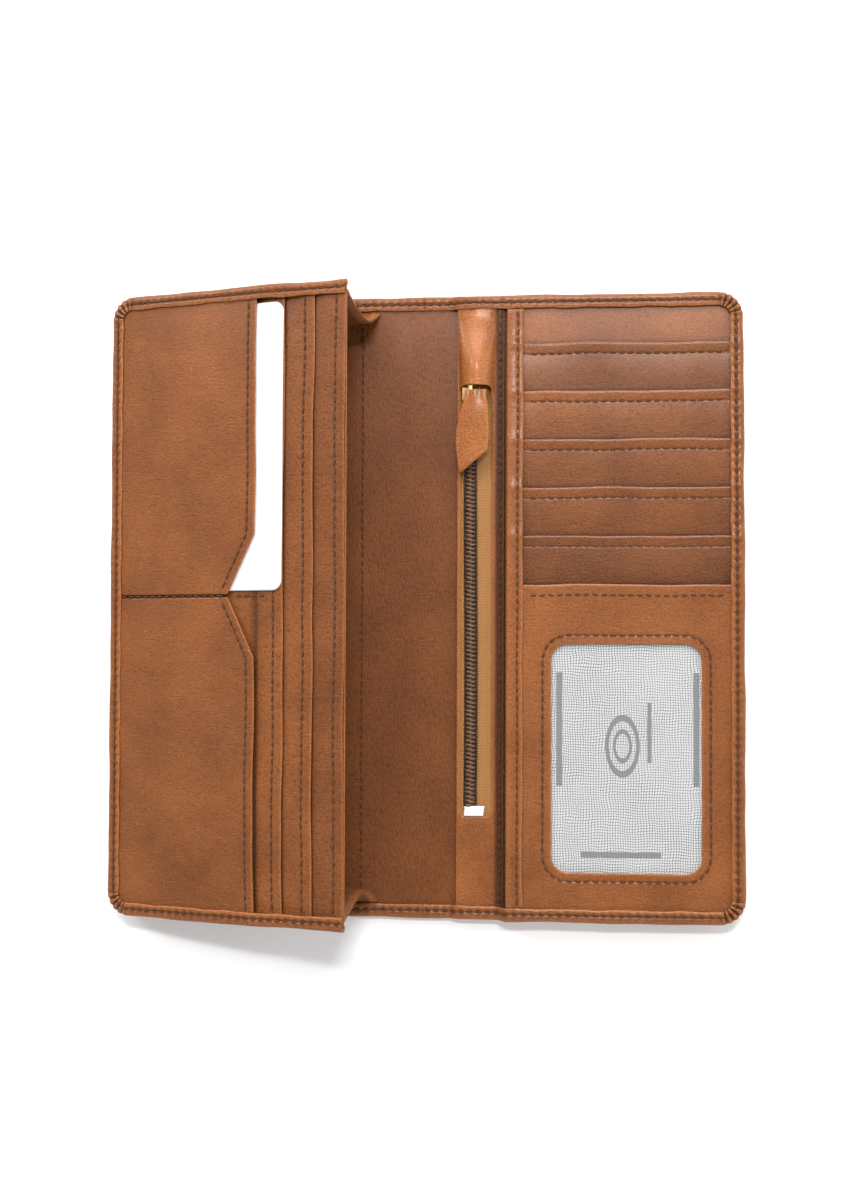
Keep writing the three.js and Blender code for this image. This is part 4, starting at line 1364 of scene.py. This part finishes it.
@dataclass
class Gussets:
    """The two folded leather gussets between the leaf's ends and the cover."""

    leg: float = 17.4
    start: float = 8.0
    thickness: float = 0.8

    def build(self) -> None:
        """Builds both gussets."""
        for end, name in ((1, "top"), (-1, "bottom")):
            self._gusset(end, name)

    def _gusset(self, end: int, name: str) -> None:
        """One gusset, fanned between the cover and the leaf."""
        span = FLAT.span(f"gusset_{name}")
        base, edge = span.low[2] - LEAF.z, abs((span.high if end > 0 else span.low)[1])
        width = LEAF.span("leaf_back").high[0]
        share = np.linspace(0, 1, 33)
        reach = np.linspace(self.start, width, 26)
        r = np.repeat(reach[:, None], len(share), axis=1)
        s = np.repeat(share[None, :], len(reach), axis=0)
        r = r + 1.8 * (s - 0.35) ** 2 * smooth(r, 50, width) * (s < 0.35) * 8
        angle = LEAF.angle * s
        depth = np.sqrt(self.leg**2 - (r * math.sin(LEAF.angle / 2)) ** 2)
        depth = depth * (1 - 0.5 * smooth(r, 42, width))
        inward = depth * (1 - np.abs(2 * s - 1) ** 1.75) ** 0.9 - 1.6 * s * smooth(r, 30, width)
        rise = base * (1 - s) - AIR * s
        x = LEAF.x + r * np.cos(angle) - rise * np.sin(angle)
        z = LEAF.z + r * np.sin(angle) + rise * np.cos(angle)
        y = end * (edge - inward)
        outside = np.stack([x, y, z], axis=-1)
        along_s = np.gradient(outside, axis=1)
        along_r = np.gradient(outside, axis=0)
        normal = np.cross(along_r, along_s)
        normal /= np.maximum(np.linalg.norm(normal, axis=-1, keepdims=True), 1e-9)
        normal *= np.sign(normal[..., 1:2] * end + 1e-12)
        inside = outside - normal * self.thickness
        points = np.concatenate([outside, inside[:, ::-1]], axis=1)
        weights = np.concatenate([s, s[:, ::-1]], axis=1)
        flat = np.stack([r, 60 * s, 0 * s], axis=-1)
        flat = np.concatenate([flat, flat[:, ::-1] + [0, 0, 3]], axis=1)
        # The free edge painted lighter: rubbed leather and painted highlight.
        edge_wear_and_sheen = 0.8 * np.exp(-(width - r) / 0.6)
        # Painted shade along the middle fold.
        fold = 0.25 * hump(s, 0.5, 0.06)
        # The whole gusset painted darker: painted shade between the leaf and the cover.
        skin = Skin(tone=-0.3)
        wear = np.concatenate([edge_wear_and_sheen, edge_wear_and_sheen[:, ::-1]], axis=1)
        skin.rings(points, wear, np.concatenate([fold, fold], axis=1), flat=flat)
        piece = skin.finish(f"gusset_{name}_leather", Finish.TAN, "", f"gusset_{name}")
        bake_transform(piece, "left_cover", "leaf", start=(0, 0, base * MM), end=(0, 0, 0.03))
        turn = piece.data.attributes["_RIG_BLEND"]
        turn.data.foreach_set("value", weights.reshape(-1).astype(np.float32))


# ------------------------------------------------------------------ the coin pocket and its zip


@dataclass
class CoinPocket:
    """The zip panel, the tapes, the coil, the slider and its leather puller."""

    panel: Span = field(default_factory=lambda: FLAT.span("zip_panel"))
    left_row: Span = field(default_factory=lambda: FLAT.span("zip_teeth_left"))
    right_row: Span = field(default_factory=lambda: FLAT.span("zip_teeth_right"))
    slot_x: tuple[float, float] = (1.1, 10.5)  # from the panel's inner edge
    slot_bottom: float = FLAT.span("zip_bottom_stop").low[1] - AIR
    tongue: float = joint("puller_swing")["pos_m"][1] / MM + 2.3  # where the raised leather above the slot ends
    coil_pitch: float = 1.3

    def build(self) -> None:
        """Builds the pocket's visible pieces."""
        self._panel()
        self._tapes()
        self._coil()
        self._stops()
        self._slider()
        self._puller()

    def _bulge(self, points: Array) -> Array:
        """Raises the leather above the slot, where the slider's end lies under it."""
        x, y = points[..., 0], points[..., 1]
        middle = (self.slot_x[0] + self.slot_x[1]) / 2 + self.panel.low[0] + 0.2
        end = self.panel.high[1] - HEM_WIDTH + 1.1
        spread = 5.1 - 0.7 * (1 - smooth(y, self.tongue, end))
        across = np.clip(1 - ((x - middle) / (spread + 0.9)) ** 2, 0, 1) ** 0.75
        along = smooth(y, self.tongue - 7, self.tongue + 0.4) * (1 - 0.8 * smooth(y, self.tongue + 4, end - 1))
        folds = 0.35 * np.cos((x - middle) * 1.15) * smooth(y, self.tongue + 2, self.tongue + 8)
        raised = points.copy()
        raised[..., 2] += (4.9 + folds) * across * along
        raised[..., 2] -= 0.3 * hump(x, self.panel.high[0] - 1.3, 0.8)
        return raised

    def _panel(self) -> None:
        """The zip panel with its slot, and the seam along its outer side."""
        p = self.panel

        def sheen(q: Array) -> Array:
            """A painted highlight: how much lighter the leather is painted where it is drawn tight over the slider."""
            return smooth(q[..., 1], self.tongue - 2, self.tongue + 1) * hump(q[..., 0], p.low[0] + 5.8, 4.0)

        FramePanel(
            (p.low[0], p.low[1]),
            (p.high[0], p.high[1]),
            (p.low[0] + self.slot_x[0], self.slot_bottom),
            (p.low[0] + self.slot_x[1], self.tongue),
            1.3,
            (p.low[2], p.high[2]),
            warp=self._bulge,
            # Painted shade over the recessed, stitched strip along the outer side.
            stain_and_shade=lambda q: 0.85 * smooth(q[..., 0], p.high[0] - 3.4, p.high[0] - 2.2),
            shine=sheen,
        ).make("zip_panel_leather", Finish.TAN, "right_cover", "zip_panel", tone=0.2)
        x, z, end = p.high[0] - 1.3, p.high[2] - 0.1, p.high[1] - HEM_WIDTH + 1.1
        seams("zip_panel_stitching", "right_cover", [(straight((x, -end, z), (x, end, z)), UP)])

    def _tapes(self) -> None:
        """The two cloth tapes under the coil."""

        def ripple(points: Array) -> Array:
            """Lets a tape rise and fall a little along its length."""
            moved = points.copy()
            moved[..., 2] += 0.12 * sway(points[..., 1], 1.1, 31)
            return moved

        for side in ("left", "right"):
            tape = FLAT.span(f"zip_tape_{side}")
            panel = Panel(*tape.corners, spacing=1.6, warp=ripple)
            piece = panel.make(f"zip_tape_{side}_cloth", Finish.TAPE, "right_cover", f"zip_tape_{side}")
            size = ((tape.high[0] - tape.low[0]) * MM, (tape.high[1] - tape.low[1]) * MM)
            size[0] > 0.01

    def _coil(self) -> None:
        """Two rows of coil loops that lock in the middle, each loop a bent strand."""
        middle = (self.left_row.low[0] + self.right_row.high[0]) / 2
        low, high = self.left_row.low[1], self.left_row.high[1]
        floor = self.left_row.low[2]
        for side, name in ((-1, "left"), (1, "right")):
            skin = Skin()
            count = int((high - low) / self.coil_pitch) - 1
            for number in range(count):
                y = low + self.coil_pitch * (number + (0.25 if side < 0 else 0.75))
                self._loop(skin, middle, side, y, floor)
            self._cord(skin, middle + side * 1.72, low, high, floor + 0.36)
            skin.finish(f"zip_coil_{name}", Finish.COIL, "right_cover", f"zip_teeth_{name}")

    @staticmethod
    def _loop(skin: Skin, middle: float, side: int, y: float, floor: float) -> None:
        """One coil loop: out from the lock, over, and back down at the tape."""
        t = np.linspace(0, 1, 9)
        drift = 0.35 * math.sin(2 * math.pi * (y + 60) / 140)
        x = middle + drift * 0.5 + side * (-0.45 + 2.35 * t)
        z = floor + 0.42 + 0.62 * np.sin(math.pi * np.clip(t * 1.05, 0, 1)) ** 0.6
        yy = y + 0.16 * np.sin(math.pi * t) * side
        centre = np.stack([x, yy, z], axis=1)
        ahead = np.gradient(centre, axis=0)
        ahead /= np.linalg.norm(ahead, axis=1, keepdims=True)
        across = np.tile([0.0, 1.0, 0.0], (len(t), 1))
        girth = np.array([0.28, 0.46, 0.44, 0.37, 0.34, 0.33, 0.33, 0.32, 0.25])
        rings = strand(centre, across[:, None, :], np.cross(ahead, across)[:, None, :], girth)
        # Painted shade growing towards the loop's end at the tape.
        skin.rings(rings, crease=np.repeat((0.75 * t**2)[:, None], 6, axis=1))

    @staticmethod
    def _cord(skin: Skin, x: float, low: float, high: float, z: float) -> None:
        """The sewing along the coil's outer side."""
        y = np.linspace(low, high, 210)
        girth = 0.3 + 0.06 * np.sin(y * 2 * math.pi / 1.3)
        drift = 0.175 * np.sin(2 * math.pi * (y + 60) / 140)
        centre = np.stack([x + drift, y, np.full_like(y, z)], axis=1)
        # The cord painted into shade under the loops.
        skin.rings(strand(centre, np.array([1.0, 0.0, 0.0]), np.array(UP), girth), crease=0.55)

    @staticmethod
    def _stops() -> None:
        """The stops at both ends of the chain."""
        for node, finish in (("zip_top_stop", Finish.BRASS), ("zip_bottom_stop", Finish.WHITE_STOP)):
            span = FLAT.span(node)
            low, high, (floor, top) = span.corners
            Panel(
                low,
                high,
                (floor, top - 0.1),
                left=lambda y, s=span: s.low[0] + 0.08 * (y - s.low[1]),
                right=lambda y, s=span: s.high[0] - 0.12 * (s.high[1] - y),
                worn_and_lit=("low", "high"),
                spacing=0.6,
            ).make(f"{node}_clamp", finish, "right_cover", node)

    @staticmethod
    def _slider() -> None:
        """The slider, its edges rounded as a casting's are."""
        node = frame["nodes"]["zip_slider"]
        piece = bpy.data.objects.new("zip_slider_casting", node.data.copy())
        bpy.context.scene.collection.objects.link(piece)
        worked = bmesh.new()
        worked.from_mesh(piece.data)
        bmesh.ops.remove_doubles(worked, verts=worked.verts, dist=1e-6)
        bmesh.ops.dissolve_limit(worked, angle_limit=0.02, verts=worked.verts, edges=worked.edges)
        sharp = [e for e in worked.edges if len(e.link_faces) == 2 and e.calc_face_angle() > 0.5]
        bmesh.ops.bevel(
            worked, geom=sharp, offset=0.14 * MM, segments=3, profile=0.6, affect="EDGES", clamp_overlap=True
        )
        worked.to_mesh(piece.data)
        worked.free()
        piece.data.polygons.foreach_set("use_smooth", [True] * len(piece.data.polygons))
        dress(piece, Finish.BRASS, "slider", "zip_slider")

    def _puller(self) -> None:
        """The leather puller: a strap threaded under the bridge that widens, twists a little and ends in a slant."""
        pin = np.array(joint("puller_swing")["pos_m"]) / MM
        t = np.concatenate([np.linspace(0, 0.24, 12), np.linspace(0.26, 1, 34)])
        length = 24.9
        run = 0.9 - length * t  # along Y from the pin
        stations = [-24.0, -15.5, -11.0, -6.0, -2.6, -0.4, 0.9]
        left = self._soften(np.interp(run, stations, [-3.6, -4.6, -4.3, -3.2, -2.1, -1.5, -1.7]))
        right = self._soften(np.interp(run, stations, [5.3, 5.7, 5.7, 5.5, 5.2, 4.7, 5.2]))
        lift = self._soften(np.interp(run, stations, [0.1, 0.3, 0.6, 1.0, 1.2, 1.25, 1.0]))
        cols = np.concatenate([[0, 0.02, 0.06], np.linspace(0.12, 0.88, 11), [0.94, 0.98, 1]])
        x = left[:, None] + (right - left)[:, None] * cols[None, :]
        end = smooth(-run, 11, 24.0)[:, None]
        y = run[:, None] + end * (7.6 * (cols[None, :] - 0.14) * (cols[None, :] > 0.14))
        y = y - 0.5 * end * (0.14 - cols[None, :]) * (cols[None, :] < 0.14)
        pinch = np.exp(-((run / 2.4) ** 2))[:, None]
        gather = pinch * 0.16 * np.cos(cols[None, :] * 2 * math.pi * 2.2)
        crown = 0.75 * np.sin(math.pi * cols)[None, :] * (0.3 + 0.7 * smooth(-run, 0, 8))[:, None]
        twist = 0.9 * (cols[None, :] - 0.5) * hump(run, -8.0, 6.0)[:, None]
        middle = lift[:, None] + gather + crown + twist
        thick = 0.5 * np.minimum.reduce([
            rounding(x - left[:, None], 0.45),
            rounding(right[:, None] - x, 0.45),
            np.repeat(rounding(length * (1 - t), 0.45)[:, None], len(cols), axis=1),
        ])
        top = np.stack([x, y, middle + thick], axis=-1)
        bottom = np.stack([x, y, middle - thick], axis=-1)
        edge = np.exp(-np.minimum(x - left[:, None], right[:, None] - x) / 0.4)
        # Painted shade in the gathers at the neck.
        crease = 0.3 * pinch * (0.5 - 0.5 * np.cos(cols[None, :] * 2 * math.pi * 2.2))
        skin = Skin(tone=0.42)
        # Edges painted lighter (rubbed leather and painted highlight), and the whole strap a little lighter.
        skin.rings(folded(top, bottom) + pin, folded(edge, edge) + 0.25, folded(crease, 0 * crease))
        skin.finish("zip_puller_leather", Finish.TAN, "puller", "zip_puller")

    @staticmethod
    def _soften(values: Array) -> Array:
        """Rounds the corners of a row of values."""
        padded = np.pad(values, 2, mode="edge")
        return np.convolve(padded, np.ones(5) / 5, mode="valid")


# ------------------------------------------------------------------ card slots and ID window


@dataclass
class CardSlots:
    """The backing, five slot panels, and the strip that binds their inner ends."""

    covers: Covers
    tones: tuple[float, ...] = (-0.12, 0.06, -0.08, -0.12, -0.24)

    def build(self) -> None:
        """Builds the slots."""
        backing = FLAT.span("card_backing")
        Panel(
            *backing.corners,
            right=rounded_side(backing.high[0], -1, backing.low[1], backing.high[1], INNER_CORNER),
            # Painted shadow along the line where the first slot's mouth lies over it.
            covers={"high": backing.high[1] - FLAT.span("slot_panel_1").high[1]},
        ).make("card_backing_leather", Finish.TAN, "right_cover", "card_backing", tone=0.1)
        rows = [self._slot(number, tone) for number, tone in enumerate(self.tones, start=1)]
        trim = self._trim()
        seams("slot_stitching", "right_cover", rows)
        seams("trim_stitching", "right_cover", [trim])

    def _slot(self, number: int, tone: float) -> Row:
        """One slot panel, its mouth slightly slack, and its row of stitches."""
        span = FLAT.span(f"slot_panel_{number}")
        mouth = span.high[1]
        next_mouth = FLAT.span(f"slot_panel_{number + 1}" if number < len(self.tones) else "id_panel").high[1]
        middle, reach = (span.low[0] + span.high[0]) / 2 + 2, (span.high[0] - span.low[0]) / 2

        def slack(points: Array) -> Array:
            """Lets the mouth stand off, with a slow wave along it."""
            moved = points.copy()
            near = smooth(points[..., 1], mouth - 13, mouth)
            across = np.clip(1 - ((points[..., 0] - middle) / reach) ** 4, 0, 1)
            moved[..., 1] += 0.3 * near * sway(points[..., 0], 1.9 * number, 55) * across
            slackness = 0.28 if number < len(self.tones) else 0.03
            moved[..., 2] += slackness * near * across * (1 + 0.6 * sway(points[..., 0], number, 48))
            return moved

        Panel(
            *span.corners,
            seams={"high": MOUTH_STITCH},
            # Painted shadow where the next mouth lies over this slot, and painted shade growing from the mouth down.
            covers={"high": mouth - next_mouth},
            shade_drop=0.2,
            worn_and_lit=("high",),
            warp=slack,
            spacing=2.4,
        ).make(f"slot_panel_{number}_leather", Finish.TAN, "right_cover", f"slot_panel_{number}", tone=tone)
        trim_end = FLAT.span("card_trim").high[0] + 0.8
        hem_start = self.covers.outer.high[0] - HEM_WIDTH - 0.8
        y = mouth - MOUTH_STITCH
        z = span.high[2] - (0.1 if number < len(self.tones) else 0.32)
        line = straight((trim_end, y, z), (hem_start, y, z))
        return slack(line), UP

    def _trim(self) -> Row:
        """The binding strip, rounded at its fold, rising over each slot's mouth."""
        span = FLAT.span("card_trim")
        ys = np.linspace(span.low[1], span.high[1], 190)
        height = self.covers.card_height(ys)
        width = span.high[0] - span.low[0]
        turn = np.radians(np.linspace(180, 90, 6))
        # Each row: depth, height, lip share, and how it is painted: lighter where positive (rubbed edges, painted
        # highlight on the rounded fold), painted shade where negative (seam groove, underside).
        section = [(0.0, 0.0, 0.0, 0.0)]
        section += [(0.9 + 0.9 * math.cos(a), 0.9 * math.sin(a) - 0.9, 1.0, 0.45) for a in turn]
        section += [(2.4, 0.06, 1.0, 0.0), (3.15, 0.0, 1.0, 0.0), (3.5, -0.18, 1.0, -0.5), (3.85, 0.0, 1.0, 0.0)]
        section += [(width - 0.5, 0.0, 1.0, 0.4), (width - 0.15, -0.12, 1.0, 1.0), (width, -0.32, 1.0, 0.5)]
        section += [(width - 0.2, -0.6, 1.0, -0.8), (1.2, -0.6, 1.0, -0.8), (1.2, 0.0, 0.0, 0.0)]
        depth, z, lip, sheen_and_shade = (np.array(c) for c in zip(*section, strict=True))
        z = span.low[2] + z + lip * (height[:, None] - span.low[2])
        x = span.low[0] + depth[None, :] + 0.22 * sway(ys, 0.9, 52)[:, None] * (depth > 2)[None, :]
        points = np.stack([x, np.broadcast_to(ys[:, None], x.shape), z], axis=-1)
        skin = Skin(tone=0.02)
        skin.rings(points, np.maximum(sheen_and_shade, 0), np.maximum(-sheen_and_shade, 0))
        skin.finish("card_trim_leather", Finish.TAN, "right_cover", "card_trim")
        line = np.stack([np.full_like(ys, span.low[0] + 3.5), ys, height - 0.1], axis=1)
        return line, UP


@dataclass
class IdPocket:
    """The framed ID pocket with its clear window and the printed sheet behind it."""

    panel: Span = field(default_factory=lambda: FLAT.span("id_panel"))
    film: Span = field(default_factory=lambda: FLAT.span("id_window"))
    overlap: float = 3.2
    radius: float = 5.0
    seam: float = 2.6

    def build(self) -> None:
        """Builds the pocket."""
        p, f = self.panel, self.film
        low = (f.low[0] + self.overlap, f.low[1] + self.overlap)
        high = (f.high[0] - self.overlap, f.high[1] - self.overlap)
        corner_low, corner_high, z = p.corners
        FramePanel(
            corner_low, corner_high, low, high, self.radius, z, hole_seam=self.seam, warp=self._crown, rounded=(1,)
        ).make("id_panel_leather", Finish.TAN, "right_cover", "id_panel", tone=0.06)
        self._stitches(low, high)
        Panel(*f.corners, spacing=4.0).make("id_window_film", Finish.FILM, "right_cover", "id_window")
        corner_low, corner_high, (floor, top) = FLAT.span("id_insert").corners
        sheet = Panel(corner_low, corner_high, (floor + 0.08, top))
        sheet.make("id_insert_print", Finish.PRINT, "id_card", "id_insert")

    def _crown(self, points: Array) -> Array:
        """A faint unevenness of the frame."""
        moved = points.copy()
        mouth = smooth(points[..., 1], self.panel.high[1] - 12, self.panel.high[1])
        moved[..., 2] += 0.1 * sway(points[..., 0] + points[..., 1], 0.7, 60) + 0.22 * mouth
        moved[..., 1] += 0.25 * mouth * sway(points[..., 0], 2.2, 58)
        return moved

    def _stitches(self, low: tuple[float, float], high: tuple[float, float]) -> None:
        """The seam round the window, and the one under the pocket's mouth."""
        around = FramePanel(
            (low[0] - 9, low[1] - 9), (high[0] + 9, high[1] + 9), (low[0] - self.seam, low[1] - self.seam),
            (high[0] + self.seam, high[1] + self.seam), self.radius + self.seam, (0.0, 1.0),
        )
        loop, _ = around._loops()
        z = self.panel.high[2] - 0.05
        ring = np.concatenate([loop, np.full((len(loop), 1), z)], axis=1)
        ring = self._crown(np.concatenate([ring, ring[:1]]))
        y = self.panel.high[1] - MOUTH_STITCH
        mouth = straight((self.panel.low[0] + 5, y, z), (self.panel.high[0] - 4, y, z))
        seams("id_stitching", "right_cover", [(ring, UP), (self._crown(mouth), UP)])


# ------------------------------------------------------------------ studio


@dataclass
class Studio:
    """A pale floor, soft light from the wallet's upper side, and the camera above."""

    camera_at: tuple = (51.82, -11.97, 522.56)
    camera_turn: tuple = (0.03137, 0.09399, 0.00337)
    lens: float = 52.03

    def build(self) -> None:
        """Sets the stage."""
        self._floor()
        self._light("key_light", (-0.05, 0.95, 0.62), (-57.0, 0, -3.0), (1.3, 0.6), 19.5)
        self._light("right_light", (1.0, 0.1, 0.5), (0, 63.0, 0), (0.5, 1.0), 4.6)
        self._light("front_light", (0.1, -1.0, 0.5), (63.0, 0, 0), (1.2, 0.4), 5.6)
        self._light("sheen_light", (0.08, 0.36, 0.9), (-21.0, 5.0, 0), (0.3, 0.08), 4.6)
        self._light("leaf_sheen_light", (-0.62, 0.4, 0.5), (-36.0, -46.0, 0), (0.3, 0.16), 2.4)
        world = bpy.data.worlds.new("studio")
        world.use_nodes = True
        sky = Graph(world.node_tree)
        place = sky.node("ShaderNodeTexCoord", {}, {}, "Generated")
        height = sky.split(place)[2]
        stops = [(at, (grey, grey, grey)) for at, grey in ((0.0, 1.0), (0.35, 0.75), (0.65, 0.27), (1.0, 0.15))]
        glow = sky.node("ShaderNodeValToRGB", {"stops": stops}, {0: height})
        sky.tree.links.new(glow.socket, world.node_tree.nodes["Background"].inputs[0])
        world.node_tree.nodes["Background"].inputs[1].default_value = 1.0
        bpy.context.scene.world = world
        bpy.context.scene.view_settings.view_transform = "Standard"
        data = bpy.data.cameras.new("camera")
        data.lens = self.lens
        data.sensor_width = 36.0
        data.clip_start = 0.01
        camera = bpy.data.objects.new("camera", data)
        camera.location = [c * MM for c in self.camera_at]
        camera.rotation_euler = self.camera_turn
        bpy.context.scene.collection.objects.link(camera)
        bpy.context.scene.camera = camera

    @staticmethod
    def _floor() -> None:
        """The floor, a wide sheet just under the wallet."""
        mesh = bpy.data.meshes.new("floor")
        reach, z = 3.0, -0.0002
        around = ((-1, -1), (1, -1), (1, 1), (-1, 1))
        mesh.from_pydata([(reach * x, reach * y, z) for x, y in around], [], [(0, 1, 2, 3)])
        floor = bpy.data.objects.new("floor", mesh)
        bpy.context.scene.collection.objects.link(floor)
        s = Shader("pale floor", base_color=(0.93, 0.93, 0.93, 1), roughness=0.9, specular_ior_level=0.1)
        mesh.materials.append(s.material)

    @staticmethod
    def _light(name: str, at: tuple, turn: tuple, size: tuple, power: float) -> None:
        """One soft rectangular light."""
        data = bpy.data.lights.new(name, "AREA")
        data.shape = "RECTANGLE"
        data.size, data.size_y = size
        data.energy = power
        lamp = bpy.data.objects.new(name, data)
        lamp.location = at
        lamp.rotation_euler = [math.radians(a) for a in turn]
        bpy.context.scene.collection.objects.link(lamp)


def main() -> None:
    """Builds the wallet's looks in order."""
    logging.basicConfig(level=logging.INFO, format="%(name)s: %(message)s")
    Studio().build()
    covers = Covers()
    covers.build()
    Leaf().build()
    Gussets().build()
    CoinPocket().build()
    CardSlots(covers).build()
    IdPocket().build()


if __name__ == "__main__":
    main()
